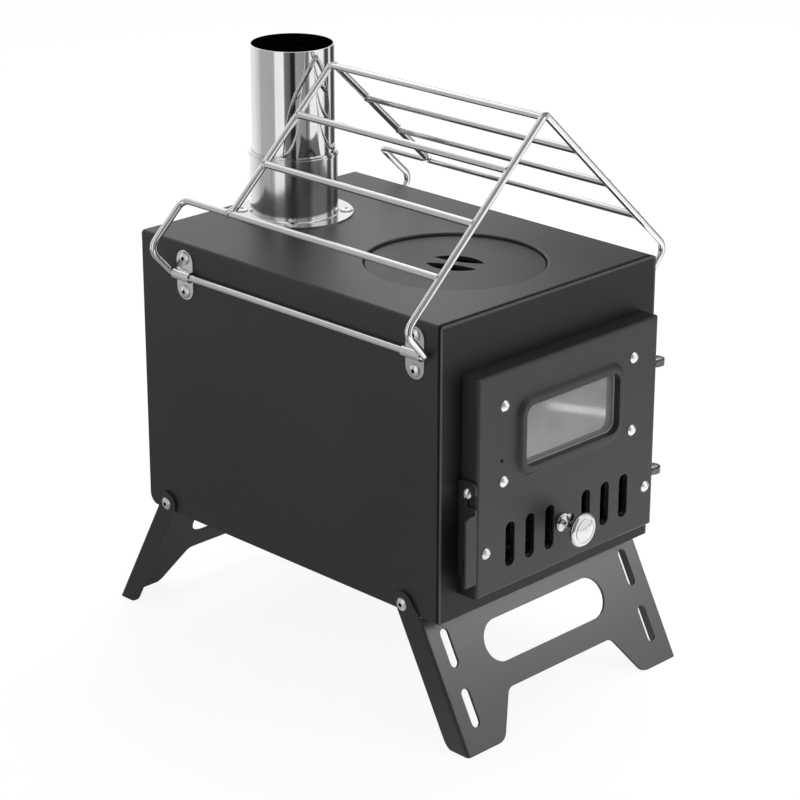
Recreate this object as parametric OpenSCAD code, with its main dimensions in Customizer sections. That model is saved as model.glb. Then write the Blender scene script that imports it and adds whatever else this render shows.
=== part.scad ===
// A folding wood stove for tents: a sheet metal firebox on two folding legs,
// with a hinged window door, a sliding air control, a lift-out cooking lid,
// a lift-off flue pipe and two wire racks that lean together or fold out.
// X runs across the front, Y runs from the door to the back, Z is up.
// The origin is on the floor, under the middle of the overall size.

/* [Body] */
// Width across the side walls
body_w = 212; // [200:1:230]
// Depth from the front panel to the back
body_d = 293; // [285:1:320]
// Height from the bottom to the cooking plate
body_h = 208; // [200:1:225]
// Thickness of the body sheet
sheet_t = 1.5; // [1:0.1:1.8]
// Outer radius of the two long top bends
bend_r = 2.5; // [2:0.1:4]
// Radius of the lower rear corners
rear_corner_r = 8; // [5:0.5:10]
// How far the firebox mouth lies inside the door's edge
mouth_inset = 10; // [6:0.5:14]
// Corner radius of the firebox mouth
mouth_r = 8; // [3:0.5:15]

/* [Cooking lid] */
// Diameter of the hole in the cooking plate
lid_hole_d = 128; // [116:1:132]
// Distance of the hole's centre from the front
lid_y = 88.8; // [84:0.2:96]
// Thickness of the lid
lid_t = 3; // [2:0.1:4]
// How far the lid's top lies below the plate
lid_drop = 2; // [1:0.1:3]
// Radius of the drawn edge round the lid
lid_edge_r = 1.4; // [1:0.1:1.5]
// Width of the ledge that carries the lid
lid_ledge_w = 6.5; // [4:0.5:9]
// Tip to tip length of a finger hole
finger_l = 37.3; // [30:0.1:44]
// Height of a finger hole's outer arc
finger_outer_h = 9.3; // [7:0.1:11]
// Height of a finger hole's inner arc
finger_inner_h = 3.4; // [2:0.1:4.5]
// Distance of the finger holes' tips from the bar's middle line
finger_off = 6.85; // [6:0.05:9]
// Turn of the finger bar away from the Y axis
finger_turn = 21; // [0:1:90]

/* [Flue] */
// Outer diameter of the pipe
pipe_d = 60; // [56:1:64]
// Wall of the pipe
pipe_t = 1; // [0.6:0.1:1.5]
// Height of the pipe's top above the cooking plate
pipe_top = 124; // [70:1:300]
// Distance of the flue's centre from the front
flue_y = 249.2; // [246:0.2:251]
// Outer diameter of the spigot
spigot_d = 63.5; // [62.5:0.1:66]
// Height of the spigot above the cooking plate
spigot_h = 47.5; // [35:0.5:60]
// Diameter of the flange
flange_d = 85.6; // [84:0.2:90]
// Thickness of the flange
flange_t = 1; // [0.6:0.1:1.5]
// Diameter of the circle of flange rivets
flange_pcd = 75.2; // [75:0.1:76]
// Radius of the flare at the spigot's foot
flare_r = 1; // [0.6:0.1:1]
// Height of the rolled bead at the spigot's mouth
spigot_bead_h = 3; // [2:0.1:5]
// How far the bead stands out from the spigot
spigot_bead_w = 0.8; // [0.4:0.1:1.5]

/* [Door] */
// Width of the door pan
door_w = 179.4; // [170:0.2:181]
// Height of the door pan
door_h = 154.7; // [146:0.1:160]
// Depth of the door pan
door_depth = 15; // [13:0.5:18]
// Height of the pan's lower edge above the body's bottom
door_z = 16.2; // [8:0.1:24]
// Distance of the pan's middle to the right of the body's middle
door_x = 3.3; // [2:0.1:4]
// Outer radius of the pan's bends
pan_bend_r = 2.2; // [1.9:0.1:3]
// Diameter of the small sight hole
sight_d = 2.4; // [1.5:0.1:4]

/* [Window] */
// Width of the window opening
window_w = 93.5; // [84:0.5:97]
// Height of the window opening
window_h = 43.5; // [36:0.5:46]
// Corner radius of the window opening
window_r = 7; // [4:0.5:10]
// Width of the drawn bead round the window
bead_w = 8; // [6:0.2:9]
// How far the bead stands proud of the door
bead_h = 3.6; // [2:0.1:4.5]
// Height of the window's middle above the pan's lower edge
window_z = 104.2; // [100:0.2:110]
// Thickness of the glass
glass_t = 3; // [2:0.5:4]
// How far the glass reaches past the opening
glass_lap = 5; // [3:0.5:6]
// Thickness of the gasket
gasket_t = 1; // [0.5:0.1:1.5]
// Thickness of the sheet that holds the glass
retainer_t = 1.2; // [0.8:0.1:1.5]
// Half the width between the window screws
window_screw_x = 64.7; // [63.5:0.1:66]
// Half the height between the window screws
window_screw_z = 26.5; // [23:0.1:28]

/* [Air control] */
// Width of an air slot
air_slot_w = 9; // [7:0.1:9.4]
// Height of an air slot
air_slot_h = 32; // [26:0.5:34]
// Distance from one slot to the next
air_pitch = 19.6; // [19:0.1:20.5]
// Slots on each side of the knob
air_slots = 3; // [1:1:3]
// Half the distance between the two innermost slots
air_inner = 18.4; // [17.5:0.1:20]
// Height of the slots' middle above the pan's lower edge
air_z = 31; // [27:0.2:34]
// Travel of the slider
air_travel = 10; // [8:0.1:10]
// How far the slider reaches past the slots that it covers
slider_lip = 2; // [1:0.1:2.4]
// Thickness of the slider and of its guide
slider_t = 1.2; // [0.8:0.1:1.5]
// Half the width between the guide screws
guide_screw_x = 80.9; // [80:0.1:82]
// Distance of the knob from the slots' middle when open
knob_x = -6.3; // [-8:0.1:-4]
// Diameter of the knob's head
knob_d = 24; // [18:0.5:28]
// Thickness of the knob's head
knob_t = 6.4; // [5:0.1:8]
// How far the knob stands out from the front panel
knob_reach = 38; // [34:0.5:45]
// Diameter of the flange at the knob's foot
knob_foot_d = 12.5; // [9:0.5:14]
// Thickness of that flange
knob_foot_t = 1.4; // [1:0.1:2.5]
// Diameter of the knob's stem
knob_stem_d = 6; // [4.5:0.1:7]

/* [Latch] */
// Thickness of the latch lever
latch_t = 1.8; // [1.2:0.1:2.5]
// Gap between the lever and the door pan, filled by a washer
latch_gap = 0.6; // [0.4:0.1:1.2]
// Height of the lever's top above the body's bottom
latch_top = 100; // [96:0.5:104]
// Height of the lever's bottom
latch_bottom = 28; // [22:0.5:36]
// Height of the lever's pivot
latch_pivot_z = 91.5; // [89:0.5:93]
// Lower end of the nose
nose_bottom = 80; // [77:0.5:82]
// Upper end of the nose
nose_top = 95.5; // [93:0.5:95.5]
// How far the nose reaches behind the front panel's face
nose_reach = 2.2; // [1:0.1:3]
// Width of the lever's finger flange
finger_flange_w = 8.3; // [6:0.1:10]
// Top of the finger flange
finger_flange_top = 78; // [66:0.5:79]
// Slope of the finger flange's upper end
finger_flange_slope = 31; // [0:1:45]
// Width of the lever's slot
latch_slot_w = 4.8; // [3:0.1:5.5]
// Height of the lever's slot
latch_slot_h = 12.6; // [8:0.2:16]
// Distance of the slot from the lever's bottom
latch_slot_v = 3.3; // [2:0.1:6]
// Radius of the lever's lower rear corner
latch_heel_r = 7.7; // [5:0.1:9]
// Radius of the lever's upper corners
latch_top_r = 4.8; // [3:0.1:5.5]

/* [Hinge] */
// Distance of the hinge axis from the door's right edge
hinge_off = 7; // [7:0.1:7.4]
// End radius of the hinge ears
ear_r = 6.5; // [5:0.1:6.5]
// Thickness of the hinge ears
ear_t = 2; // [1.5:0.1:3]
// Height of the upper hinge above the body's bottom
hinge_z = 134; // [125:0.5:150]
// Distance between the two hinges
hinge_pitch = 80.4; // [70:0.2:90]
// Height of a bracket's foot on the front panel
hinge_foot_h = 14; // [8:0.5:20]
// Thickness of the bracket's foot
hinge_foot_t = 2; // [1.2:0.1:2]

/* [Racks] */
// Diameter of the loop wire
loop_d = 5; // [4:0.1:5.4]
// Diameter of the cross wires
rung_d = 4; // [3:0.1:5]
// Length of the sloping arms, from the bend to the ridge wire
arm_l = 171.4; // [165:0.2:180]
// Length of the short legs from the pivot rod to the bend
knee_l = 28.4; // [24:0.1:31]
// Cross wires on each rack, with the ridge wire
rungs = 4; // [3:1:5]
// Height of the pivot rod above the body's bottom
rod_z = 185.8; // [180:0.1:187]
// Distance of the front arm from the front of the body
arm_front_y = 10.4; // [8:0.2:12]
// Distance of the rear lower arm from the front of the body
arm_rear_y = 258; // [256:0.2:260]
// How far the upper rear arm is set forward past the flue
arm_jog = 50; // [46:0.5:60]
// Centreline radius of the wide bends
wire_bend_r = 8; // [6:0.5:11]
// Centreline radius of the bends at the flue
jog_bend_r = 6.5; // [5:0.5:9]
// Centreline radius of the tight bends at the pivot rod
rod_bend_r = 3; // [2.8:0.1:3.4]
// Width of the straps over the pivot rod
strap_w = 16.5; // [13:0.5:16.5]
// Height of the straps
strap_h = 36; // [35:0.5:38]
// Thickness of the straps
strap_t = 1.2; // [0.8:0.1:1.5]
// Distance between the two rivets of a strap
strap_rivet_pitch = 24.4; // [23.6:0.2:25]

/* [Legs] */
// Height of the body above the floor
leg_h = 87.3; // [80:0.5:100]
// Lean of the legs away from upright
leg_lean = 28.2; // [24:0.2:32]
// Thickness of the leg sheet
leg_t = 1.8; // [1.5:0.1:2.2]
// Outer radius of the bends of the leg sheet
leg_bend_r = 2.6; // [2.3:0.1:4]
// Height of the leg pivots above the body's bottom
leg_pivot_z = 5.1; // [5:0.1:6]
// Distance of the front pivot from the front of the body
front_pivot_y = 32.4; // [30:0.2:36]
// Distance of the rear pivot from the front of the body
rear_pivot_y = 272.9; // [268:0.2:276]
// Distance of the front leg's face from its pivot
front_plate_off = 11.5; // [11:0.1:13]
// Distance of the rear leg's face from its pivot
rear_plate_off = 7.2; // [7.2:0.1:8]
// Radius of the ear round the pivot
leg_ear_r = 9; // [8:0.1:10]
// Length of the long cut-out in the leg plate
cut_l = 121; // [100:1:130]
// Height of the long cut-out
cut_h = 30; // [20:0.5:34]
// Distance of the long cut-out's upper edge from the plate's top
cut_v = 20.1; // [16:0.1:23]
// Width of the small slots near the plate's sides
side_slot_w = 7.5; // [5:0.1:9]
// Length of the small slots
side_slot_l = 27.3; // [20:0.1:28]
// Distance of the small slots from the plate's side edge
side_slot_x = 15; // [12:0.2:18]
// Distance of the upper small slot from the plate's top
side_slot_v = 12.3; // [10:0.1:14]
// Distance from one small slot to the next
side_slot_pitch = 42.5; // [41:0.1:43]
// Distance of the arch's top edge from the plate's top
arch_v = 67.3; // [62:0.1:70]
// Width of the arch at its top
arch_w = 106; // [90:1:112]
// Slope of the arch's sides away from upright
arch_slope = 31; // [20:1:38]
// Radius of the arch's upper corners
arch_r = 7; // [4:0.5:10]
// Radius of the feet's inner corners
foot_r = 10; // [5:0.5:11]

/* [Fire grate] */
// Height of the grate above the body's bottom
grate_h = 16; // [12:0.5:20]
// Distance of the grate from the walls
grate_margin = 8; // [5:0.5:15]
// Thickness of the grate
grate_t = 2; // [1.5:0.1:3]
// Width of a grate slot
grate_slot_w = 8; // [6:0.5:10]
// Slots across the grate
grate_cols = 3; // [2:1:4]
// Slots along the grate
grate_rows = 10; // [6:1:12]

/* [Fasteners and fits] */
// Diameter of a rivet's shank
rivet_d = 4.8; // [4:0.1:4.8]
// Diameter of a rivet's head
rivet_head_d = 9.5; // [8.5:0.1:9.6]
// Height of a rivet's head
rivet_head_h = 1.8; // [1.2:0.1:2.4]
// Diameter of the hole that a rivet's mandrel leaves
mandrel_d = 2.4; // [1.5:0.1:2.8]
// Diameter of a screw's shank
screw_d = 4; // [3:0.1:4]
// Diameter of a screw's head
screw_head_d = 8; // [6:0.1:8.2]
// Height of a screw's head
screw_head_h = 2.2; // [1.6:0.1:2.8]
// Width of the slot in a screw's head
screw_slot_w = 1; // [0.6:0.1:1.4]
// Radial clearance where one piece turns on another
turn_fit = 0.05; // [0.03:0.01:0.1]
// Clearance between pieces that move past each other
clear = 0.3; // [0.2:0.05:0.35]

/* [Hidden] */

$fn = 64;
paint = "#2e2e2f";
steel = "#c9cbcc";
dark_steel = "#55585a";
overrun = 4;            // how far a cut runs past what it cuts
weld_gap = 0.02;        // gap left where one wire is coped to another
bend_thinning = 0.01;   // how much a wire thins in a bend
bend_seat = 0.06;       // how far a bend starts inside the straight piece before it
arc_step = 9;           // angle of one step along a rounded outline corner
dome_share = 1.05;      // chord of a head's dome over the head's diameter
tail_share = 1.3;       // diameter of a rivet's tail over its shank
bead_ramp_share = 0.6;  // share of the window bead that slopes
knob_rim_share = 0.36;  // radius of the knob's rim over its thickness
waist_share = 2 / 3;    // radius of the stem's waist over the stem's radius
knob_groove_share = 0.72;   // radius of the groove over the knob's radius
groove_width_share = 0.11;  // width of the groove over the knob's thickness
grate_slot_share = 0.79;    // length of a grate slot over its share of the width

// Overall frame
rear_reach = rear_pivot_y + foot_reach(rear_plate_off);
front_y = (knob_reach - rear_reach) / 2;

// Body
inner_x = body_w / 2 - sheet_t;
door_left = door_x - door_w / 2;
door_right = door_x + door_w / 2;
door_top = door_z + door_h;
door_face = -door_depth;
pan_back = -clear;
pan_inner = door_face + sheet_t;
mouth_w = door_w - 2 * mouth_inset;
mouth_h = door_h - 2 * mouth_inset;

// Lid and its seat, measured from the cooking plate's top
lid_seat_r = lid_hole_d / 2 - lid_edge_r;
lid_r = lid_seat_r - clear;
lid_ledge_z = -(lid_drop + lid_t);
finger_outer_r = arc_radius(finger_l, finger_outer_h);
finger_inner_r = arc_radius(finger_l, finger_inner_h);
lid_chamfer = lid_t / 5;

// Flue
pipe_r = pipe_d / 2;
spigot_bore_r = pipe_r + 2 * turn_fit;
flue_hole_r = pipe_r - pipe_t + clear;

// Window, in the door pan
glass_w = window_w + 2 * glass_lap;
glass_h = window_h + 2 * glass_lap;
window_mid = door_z + window_z;
gasket_back = pan_inner + gasket_t;
glass_back = gasket_back + glass_t;
bead_ramp = bead_w * bead_ramp_share;
bead_steps = 8;
retainer_w = 2 * window_screw_x + screw_head_d;
retainer_h = 2 * window_screw_z + screw_head_d;

// Air control
air_mid = door_z + air_z;
air_places = [for (side = [-1, 1], i = [0 : air_slots - 1]) door_x + side * (air_inner + i * air_pitch)];
slider_front = pan_inner + clear;
slider_back = slider_front + slider_t;
guide_front = slider_back + clear;
guide_back = guide_front + slider_t;
slots_reach = air_inner + (air_slots - 1) * air_pitch + air_slot_w / 2 + slider_lip;
slider_h = air_slot_h + air_slot_w / 2;
guide_pad_w = screw_head_d;
guide_w = 2 * guide_screw_x + guide_pad_w;
knob_at = door_x + knob_x;
stem_slot_w = knob_stem_d + 2 * clear;
knob_tenon_r = knob_stem_d / 3;
knob_foot_y = door_face - clear;
knob_back = -knob_reach + knob_t;

// Hinge
hinge_x = door_right + hinge_off;
hinge_y = (door_face + pan_back) / 2;
hinge_tops = [hinge_z, hinge_z - hinge_pitch];
ear_gap = clear / 2;
pin_r = rivet_d / 2;

// Latch
latch_pivot_y = hinge_y;
latch_inner = door_left - latch_gap;
latch_outer = latch_inner - latch_t;
latch_front = door_face - clear;
latch_back = -clear;
latch_slot_z = latch_bottom + latch_slot_v + latch_slot_h / 2;
nose_low_r = norm([nose_reach - latch_pivot_y, latch_pivot_z - nose_bottom]);
panel_from_pivot = -latch_pivot_y + pan_back;
nose_sweep = sqrt(nose_low_r * nose_low_r - panel_from_pivot * panel_from_pivot);

// Racks
loop_r = loop_d / 2;
rung_r = rung_d / 2;
rod_off = loop_r + clear;
ridge_off = rung_r + clear / 2;
rack_lean = acos((body_w / 2 + rod_off - ridge_off) / norm([arm_l, knee_l])) - atan(knee_l / arm_l);
arm_end = arm_l + (ridge_off - clear / 2 - loop_r * sin(rack_lean)) / cos(rack_lean);
rung_pitch = arm_l / rungs;
arm_upper_y = arm_rear_y - arm_jog;
saddle_r = loop_r + 2 * turn_fit;
strap_front_y = arm_front_y + rod_bend_r + strap_w / 2 + clear * 2;
strap_rear_y = arm_rear_y - rod_bend_r - strap_w / 2 - clear * 2;
strap_places = [strap_front_y, strap_rear_y];

// Legs
ear_outer_x = body_w / 2 + clear + leg_t;
top_gap = clear;

// Fire grate
grate_w = 2 * (inner_x - grate_margin);
grate_front = sheet_t + grate_margin;
grate_back = body_d - sheet_t - grate_margin;

// Radius of an arc from its chord and its height
function arc_radius(chord, height) = (chord * chord / 4 + height * height) / (2 * height);

// Reach of a foot from its pivot, level with the floor
function foot_reach(off) = (leg_h + leg_pivot_z) * tan(leg_lean) + off / cos(leg_lean);

// Height of the floor in the frame of a leg, which leans about its pivot
function foot_line(y) = -(leg_h + leg_pivot_z - y * sin(leg_lean)) / cos(leg_lean);

// Distance of a leg plate's top edge below the pivot, so that it clears the bottom
function plate_top(off) = (leg_pivot_z + off * sin(leg_lean) + top_gap) / cos(leg_lean);

function unit(v) = v / norm(v);

// Outline corners rounded with one radius each, as arcs
function rounded(points, radii) = [
    for (i = [0 : len(points) - 1])
        let (
            n = len(points),
            here = points[i],
            u = unit(points[(i + n - 1) % n] - here),
            v = unit(points[(i + 1) % n] - here),
            half = acos(max(-1, min(1, u * v))) / 2,
            r = radii[i],
            centre = here + unit(u + v) * r / sin(half),
            from = here + u * r / tan(half) - centre,
            turn = 180 - 2 * half,
            side = u.x * v.y - u.y * v.x > 0 ? -1 : 1,
            steps = max(1, ceil(turn / arc_step))
        )
        for (k = [0 : r > 0 ? steps : 0])
            r > 0 ? centre + spin(from, side * turn * k / steps) : here
];

function spin(v, a) = [v.x * cos(a) - v.y * sin(a), v.x * sin(a) + v.y * cos(a)];

// A frame whose Z axis runs along a direction
function along(d, at) =
    let (
        side = abs(d.z) < 0.9 * norm(d) ? unit(cross([0, 0, 1], d)) : [1, 0, 0],
        w = unit(d),
        x = unit(cross(cross(w, side), w)),
        y = cross(w, x)
    )
    [[x.x, y.x, w.x, at.x], [x.y, y.y, w.y, at.y], [x.z, y.z, w.z, at.z], [0, 0, 0, 1]];

// Moves the stove from its own frame, at the front of its bottom, onto the floor
module placed() translate([0, front_y, leg_h]) children();

module along_x(x0, x1) translate([x0, 0, 0]) rotate([90, 0, 90]) linear_extrude(x1 - x0) children();

module along_y(y0, y1) translate([0, y1, 0]) rotate([90, 0, 0]) linear_extrude(y1 - y0) children();

module along_z(z0, z1) translate([0, 0, z0]) linear_extrude(z1 - z0) children();

// A turned piece whose axis points away from the viewer in front, along -Y
module turned_to_front(x, y, z) translate([x, y, z]) rotate([90, 0, 0]) rotate_extrude() children();

module stadium(l, w) {
    square([l - w, w], center = true);
    for (side = [-1, 1]) translate([side * (l - w) / 2, 0]) circle(d = w);
}

module rounded_rect(w, h, r) {
    square([w - 2 * r, h], center = true);
    square([w, h - 2 * r], center = true);
    for (x = [-1, 1], y = [-1, 1]) translate([x * (w / 2 - r), y * (h / 2 - r)]) circle(r);
}

// A rectangle with round upper corners that stands on the X axis
module arch_profile(w, h, r) {
    translate([-w / 2, 0]) square([w, h - r]);
    translate([r - w / 2, 0]) square([w - 2 * r, h]);
    for (side = [-1, 1]) translate([side * (w / 2 - r), h - r]) circle(r);
}

// A rectangle whose lower corner on the far side is round
module heel_profile(near, far, low, high, r) {
    translate([near, low]) square([far - near - r, high - low]);
    translate([near, low + r]) square([far - near, high - low - r]);
    translate([far - r, low + r]) circle(r);
}

// A rivet with its head at the origin, its shank down through the grip
module rivet(grip) rotate_extrude() difference() {
    union() {
        intersection() {
            square([rivet_head_d / 2, rivet_head_h]);
            translate([0, rivet_head_h - dome_r()]) circle(dome_r());
        }
        translate([0, -grip]) square([rivet_d / 2, grip]);
        translate([0, -grip - rivet_head_h]) square([rivet_d * tail_share / 2, rivet_head_h]);
    }
    translate([0, -grip / 2]) square([mandrel_d / 2, grip + rivet_head_h]);
}
function dome_r() = arc_radius(rivet_head_d * dome_share, rivet_head_h);

// A screw with a slotted dome head at the origin, its shank down
module screw(length) difference() {
    head_dome_r = arc_radius(screw_head_d * dome_share, screw_head_h);
    rotate_extrude() {
        intersection() {
            square([screw_head_d / 2, screw_head_h]);
            translate([0, screw_head_h - head_dome_r]) circle(head_dome_r);
        }
        translate([0, -length]) square([screw_d / 2, length]);
    }
    translate([-screw_head_d, -screw_slot_w / 2, screw_head_h - screw_slot_w])
        cube([2 * screw_head_d, screw_slot_w, screw_head_h]);
}

// A round wire bent at each inner point of a path. A bend is drawn a hair thinner than
// the straight wire, and starts just inside it.
module bent_wire(path, bends, r) {
    last = len(path) - 1;
    for (i = [0 : last - 1]) {
        run = unit(path[i + 1] - path[i]);
        from = path[i] + run * (i == 0 ? 0 : bend_tangent(path, bends, i) - bend_seat);
        to = path[i + 1] - run * (i == last - 1 ? 0 : bend_tangent(path, bends, i + 1) - bend_seat);
        multmatrix(along(run, from)) cylinder(h = norm(to - from), r = r);
    }
    for (i = [1 : last - 1]) {
        u = unit(path[i] - path[i - 1]);
        v = unit(path[i + 1] - path[i]);
        w = unit(v - u * (u * v));
        n = cross(u, w);
        c = path[i] - u * bend_tangent(path, bends, i) + w * bends[i];
        multmatrix([[-w.x, u.x, n.x, c.x], [-w.y, u.y, n.y, c.y], [-w.z, u.z, n.z, c.z], [0, 0, 0, 1]])
            rotate_extrude(angle = acos(u * v)) translate([bends[i], 0]) circle(r - bend_thinning);
    }
}

// Length that a bend takes up on each side of its corner
function bend_tangent(path, bends, i) =
    bends[i] * tan(acos(unit(path[i] - path[i - 1]) * unit(path[i + 1] - path[i])) / 2);

// Body

module body_wrap() color(paint) placed() difference() {
    union() {
        difference() {
            intersection() {
                along_y(sheet_t, body_d) difference() {
                    arch_profile(body_w, body_h, bend_r);
                    translate([0, -overrun])
                        arch_profile(2 * inner_x, body_h - sheet_t + overrun, bend_r - sheet_t);
                }
                along_x(-body_w, body_w) heel_profile(0, body_d, 0, body_h + overrun, rear_corner_r);
            }
            translate([0, lid_y, body_h - overrun]) cylinder(h = 2 * overrun, r = lid_hole_d / 2);
            translate([0, flue_y, body_h - overrun]) cylinder(h = 2 * overrun, r = flue_hole_r);
        }
        translate([0, lid_y, body_h]) lid_seat();
    }
    strap_holes();
    for (y = [front_pivot_y, rear_pivot_y])
        translate([0, y, leg_pivot_z]) rotate([0, 90, 0])
            cylinder(h = 2 * body_w, d = rivet_d, center = true);
    flange_rivet_places() translate([0, 0, -overrun]) cylinder(h = 2 * overrun, d = rivet_d);
}

// The drawn edge of the lid hole and the ledge below it
module lid_seat() rotate_extrude() {
    translate([lid_seat_r, lid_ledge_z - sheet_t]) square([sheet_t, -lid_ledge_z + sheet_t - lid_edge_r]);
    translate([lid_seat_r - lid_ledge_w, lid_ledge_z - sheet_t]) square([lid_ledge_w + sheet_t, sheet_t]);
    intersection() {
        translate([lid_hole_d / 2, -lid_edge_r]) circle(lid_edge_r);
        translate([lid_seat_r, -lid_edge_r]) square([lid_edge_r + sheet_t / 2, lid_edge_r]);
    }
}

module strap_holes() for (y = strap_places, side = [-1, 1])
    translate([0, y, rod_z + side * strap_rivet_pitch / 2]) rotate([0, 90, 0])
        cylinder(h = 2 * body_w, d = rivet_d, center = true);

module flange_rivet_places() for (a = [45 : 90 : 315])
    translate([flange_pcd / 2 * cos(a), flue_y + flange_pcd / 2 * sin(a), body_h]) children();

module front_panel() color(paint) placed() difference() {
    along_y(0, sheet_t) arch_profile(body_w, body_h, bend_r);
    translate([door_x, 0, door_z + door_h / 2])
        along_y(-overrun, overrun) rounded_rect(mouth_w, mouth_h, mouth_r);
    translate([latch_outer - 2 * clear, -overrun, latch_pivot_z - nose_sweep - clear])
        cube([latch_t + 4 * clear, 2 * overrun, latch_top + nose_sweep - latch_pivot_z]);
}

// Bottom and back are one sheet bent between the side walls
module bottom_and_back() color(paint) placed() along_x(-inner_x, inner_x) difference() {
    heel_profile(sheet_t, body_d, 0, body_h - sheet_t, rear_corner_r);
    translate([-overrun, 0])
        heel_profile(0, body_d - sheet_t + overrun, sheet_t, body_h + overrun, rear_corner_r - sheet_t);
}

// The grate stands on two folded edges above the ash
module fire_grate() color(dark_steel) placed() {
    cell_w = grate_w / grate_cols;
    grate_d = grate_back - grate_front;
    cell_d = grate_d / grate_rows;
    difference() {
        translate([-grate_w / 2, grate_front, sheet_t]) cube([grate_w, grate_d, grate_h]);
        translate([grate_t - grate_w / 2, grate_front - overrun, 0])
            cube([grate_w - 2 * grate_t, grate_d + 2 * overrun, grate_h + sheet_t - grate_t]);
        for (i = [0 : grate_cols - 1], j = [0 : grate_rows - 1])
            translate([(i + 0.5) * cell_w - grate_w / 2, grate_front + (j + 0.5) * cell_d, 0])
                along_z(grate_h / 2, grate_h + overrun) stadium(cell_w * grate_slot_share, grate_slot_w);
    }
}

// Flue

module flue_flange() color(steel) placed() difference() {
    translate([0, flue_y, body_h]) difference() {
        cylinder(h = flange_t, d = flange_d);
        translate([0, 0, -overrun]) cylinder(h = 2 * overrun, r = spigot_bore_r);
    }
    flange_rivet_places() translate([0, 0, -overrun]) cylinder(h = 2 * overrun, d = rivet_d);
}

module flue_spigot() color(steel) placed() translate([0, flue_y, body_h + flange_t]) rotate_extrude() {
    wall = spigot_d / 2 - spigot_bore_r;
    translate([spigot_bore_r, 0]) square([wall, spigot_h - flange_t]);
    translate([spigot_d / 2 - wall / 2, 0]) difference() {
        square([wall / 2 + flare_r, flare_r]);
        translate([wall / 2 + flare_r, flare_r]) circle(flare_r);
    }
    translate([spigot_bore_r, spigot_h - flange_t - spigot_bead_h])
        square([wall + spigot_bead_w, spigot_bead_h / 2]);
}

module flue_rivets() color(steel) placed()
    flange_rivet_places() translate([0, 0, flange_t]) rivet(flange_t + sheet_t);

module flue_pipe() color(steel) placed() translate([0, flue_y, body_h]) difference() {
    translate([0, 0, clear]) cylinder(h = pipe_top - clear, r = pipe_r);
    translate([0, 0, -overrun]) cylinder(h = pipe_top + 2 * overrun, r = pipe_r - pipe_t);
}

// Cooking lid

module cooking_lid() color(paint) placed() translate([0, lid_y, body_h + lid_ledge_z]) difference() {
    rotate_extrude() polygon([
        [0, 0],
        [lid_r, 0],
        [lid_r, lid_t - lid_chamfer],
        [lid_r - lid_chamfer, lid_t],
        [0, lid_t]
    ]);
    rotate([0, 0, finger_turn]) for (side = [-1, 1]) finger_hole(side);
}

module finger_hole(side) along_z(-overrun, lid_t + overrun) intersection() {
    translate([side * (finger_off + finger_outer_h - finger_outer_r), 0]) circle(finger_outer_r);
    translate([side * (finger_off - finger_inner_h + finger_inner_r), 0]) circle(finger_inner_r);
}

// Rack straps, drawn for the left wall

module rack_straps() for (y = strap_places) translate([-body_w / 2, y, rod_z]) difference() {
    intersection() {
        rotate([90, 0, 0]) linear_extrude(strap_w, center = true) difference() {
            union() {
                translate([-strap_t, -strap_h / 2]) square([strap_t, strap_h]);
                translate([-rod_off, -saddle_r - strap_t]) square([rod_off, 2 * (saddle_r + strap_t)]);
                translate([-rod_off, 0]) circle(saddle_r + strap_t);
            }
            translate([-rod_off, 0]) circle(saddle_r);
            translate([-rod_off, -saddle_r]) square([2 * rod_off, 2 * saddle_r]);
        }
        along_x(-2 * loop_d - strap_t, 0) rotate(90) stadium(strap_h, strap_w);
    }
    for (side = [-1, 1]) translate([0, 0, side * strap_rivet_pitch / 2]) rotate([0, 90, 0])
        cylinder(h = 2 * overrun, d = rivet_d, center = true);
}

module strap_rivets() for (y = strap_places, side = [-1, 1])
    translate([-body_w / 2 - strap_t, y, rod_z + side * strap_rivet_pitch / 2]) rotate([0, -90, 0])
        rivet(sheet_t + strap_t);

module left_rack_straps() color(steel) placed() rack_straps();

module right_rack_straps() color(steel) placed() mirror([1, 0, 0]) rack_straps();

module left_strap_rivets() color(steel) placed() strap_rivets();

module right_strap_rivets() color(steel) placed() mirror([1, 0, 0]) strap_rivets();

// Racks, drawn for the left side. A point is given by its distance along the arm,
// its distance from the rod along the knee, and its place along Y.

function rack_point(s, k, y) = [
    -body_w / 2 - rod_off - k * sin(rack_lean) + s * cos(rack_lean),
    y,
    rod_z + k * cos(rack_lean) + s * sin(rack_lean)
];

rack_path = [
    rack_point(arm_end, knee_l, arm_front_y),
    rack_point(0, knee_l, arm_front_y),
    rack_point(0, 0, arm_front_y),
    rack_point(0, 0, arm_rear_y),
    rack_point(0, knee_l, arm_rear_y),
    rack_point(rung_pitch, knee_l, arm_rear_y),
    rack_point(rung_pitch, knee_l, arm_upper_y),
    rack_point(arm_end, knee_l, arm_upper_y)
];
rack_bends = [0, wire_bend_r, rod_bend_r, rod_bend_r, wire_bend_r, jog_bend_r, jog_bend_r, 0];

module rack_loop(grow = 0) bent_wire(rack_path, rack_bends, loop_r + grow);

// Cross wires, coped to the arms that they are welded to. The first one meets the
// bend at the flue end on, and is mitred there.
module rack_rungs() difference() {
    for (i = [1 : rungs]) {
        from = rack_point(i * rung_pitch, knee_l, arm_front_y);
        translate(from) rotate([0, -rack_lean, 0]) rotate([-90, 0, 0])
            cylinder(h = arm_upper_y - arm_front_y, r = rung_r);
    }
    for (y = [arm_front_y, arm_upper_y]) {
        from = rack_point(rung_pitch + (y == arm_upper_y ? rung_pitch : -rung_pitch) / 2, knee_l, y);
        to = rack_point(arm_l + rung_d, knee_l, y);
        multmatrix(along(to - from, from)) rotate(90) cylinder(h = norm(to - from), r = loop_r + weld_gap);
    }
    bend_centre = rack_point(rung_pitch + jog_bend_r, knee_l, arm_upper_y + jog_bend_r);
    inward = unit(bend_centre - rack_point(rung_pitch, knee_l, arm_upper_y));
    multmatrix(along(inward, bend_centre - inward * (jog_bend_r + loop_r + weld_gap)))
        cylinder(h = 2 * loop_d, r = 2 * loop_d);
}

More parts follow.
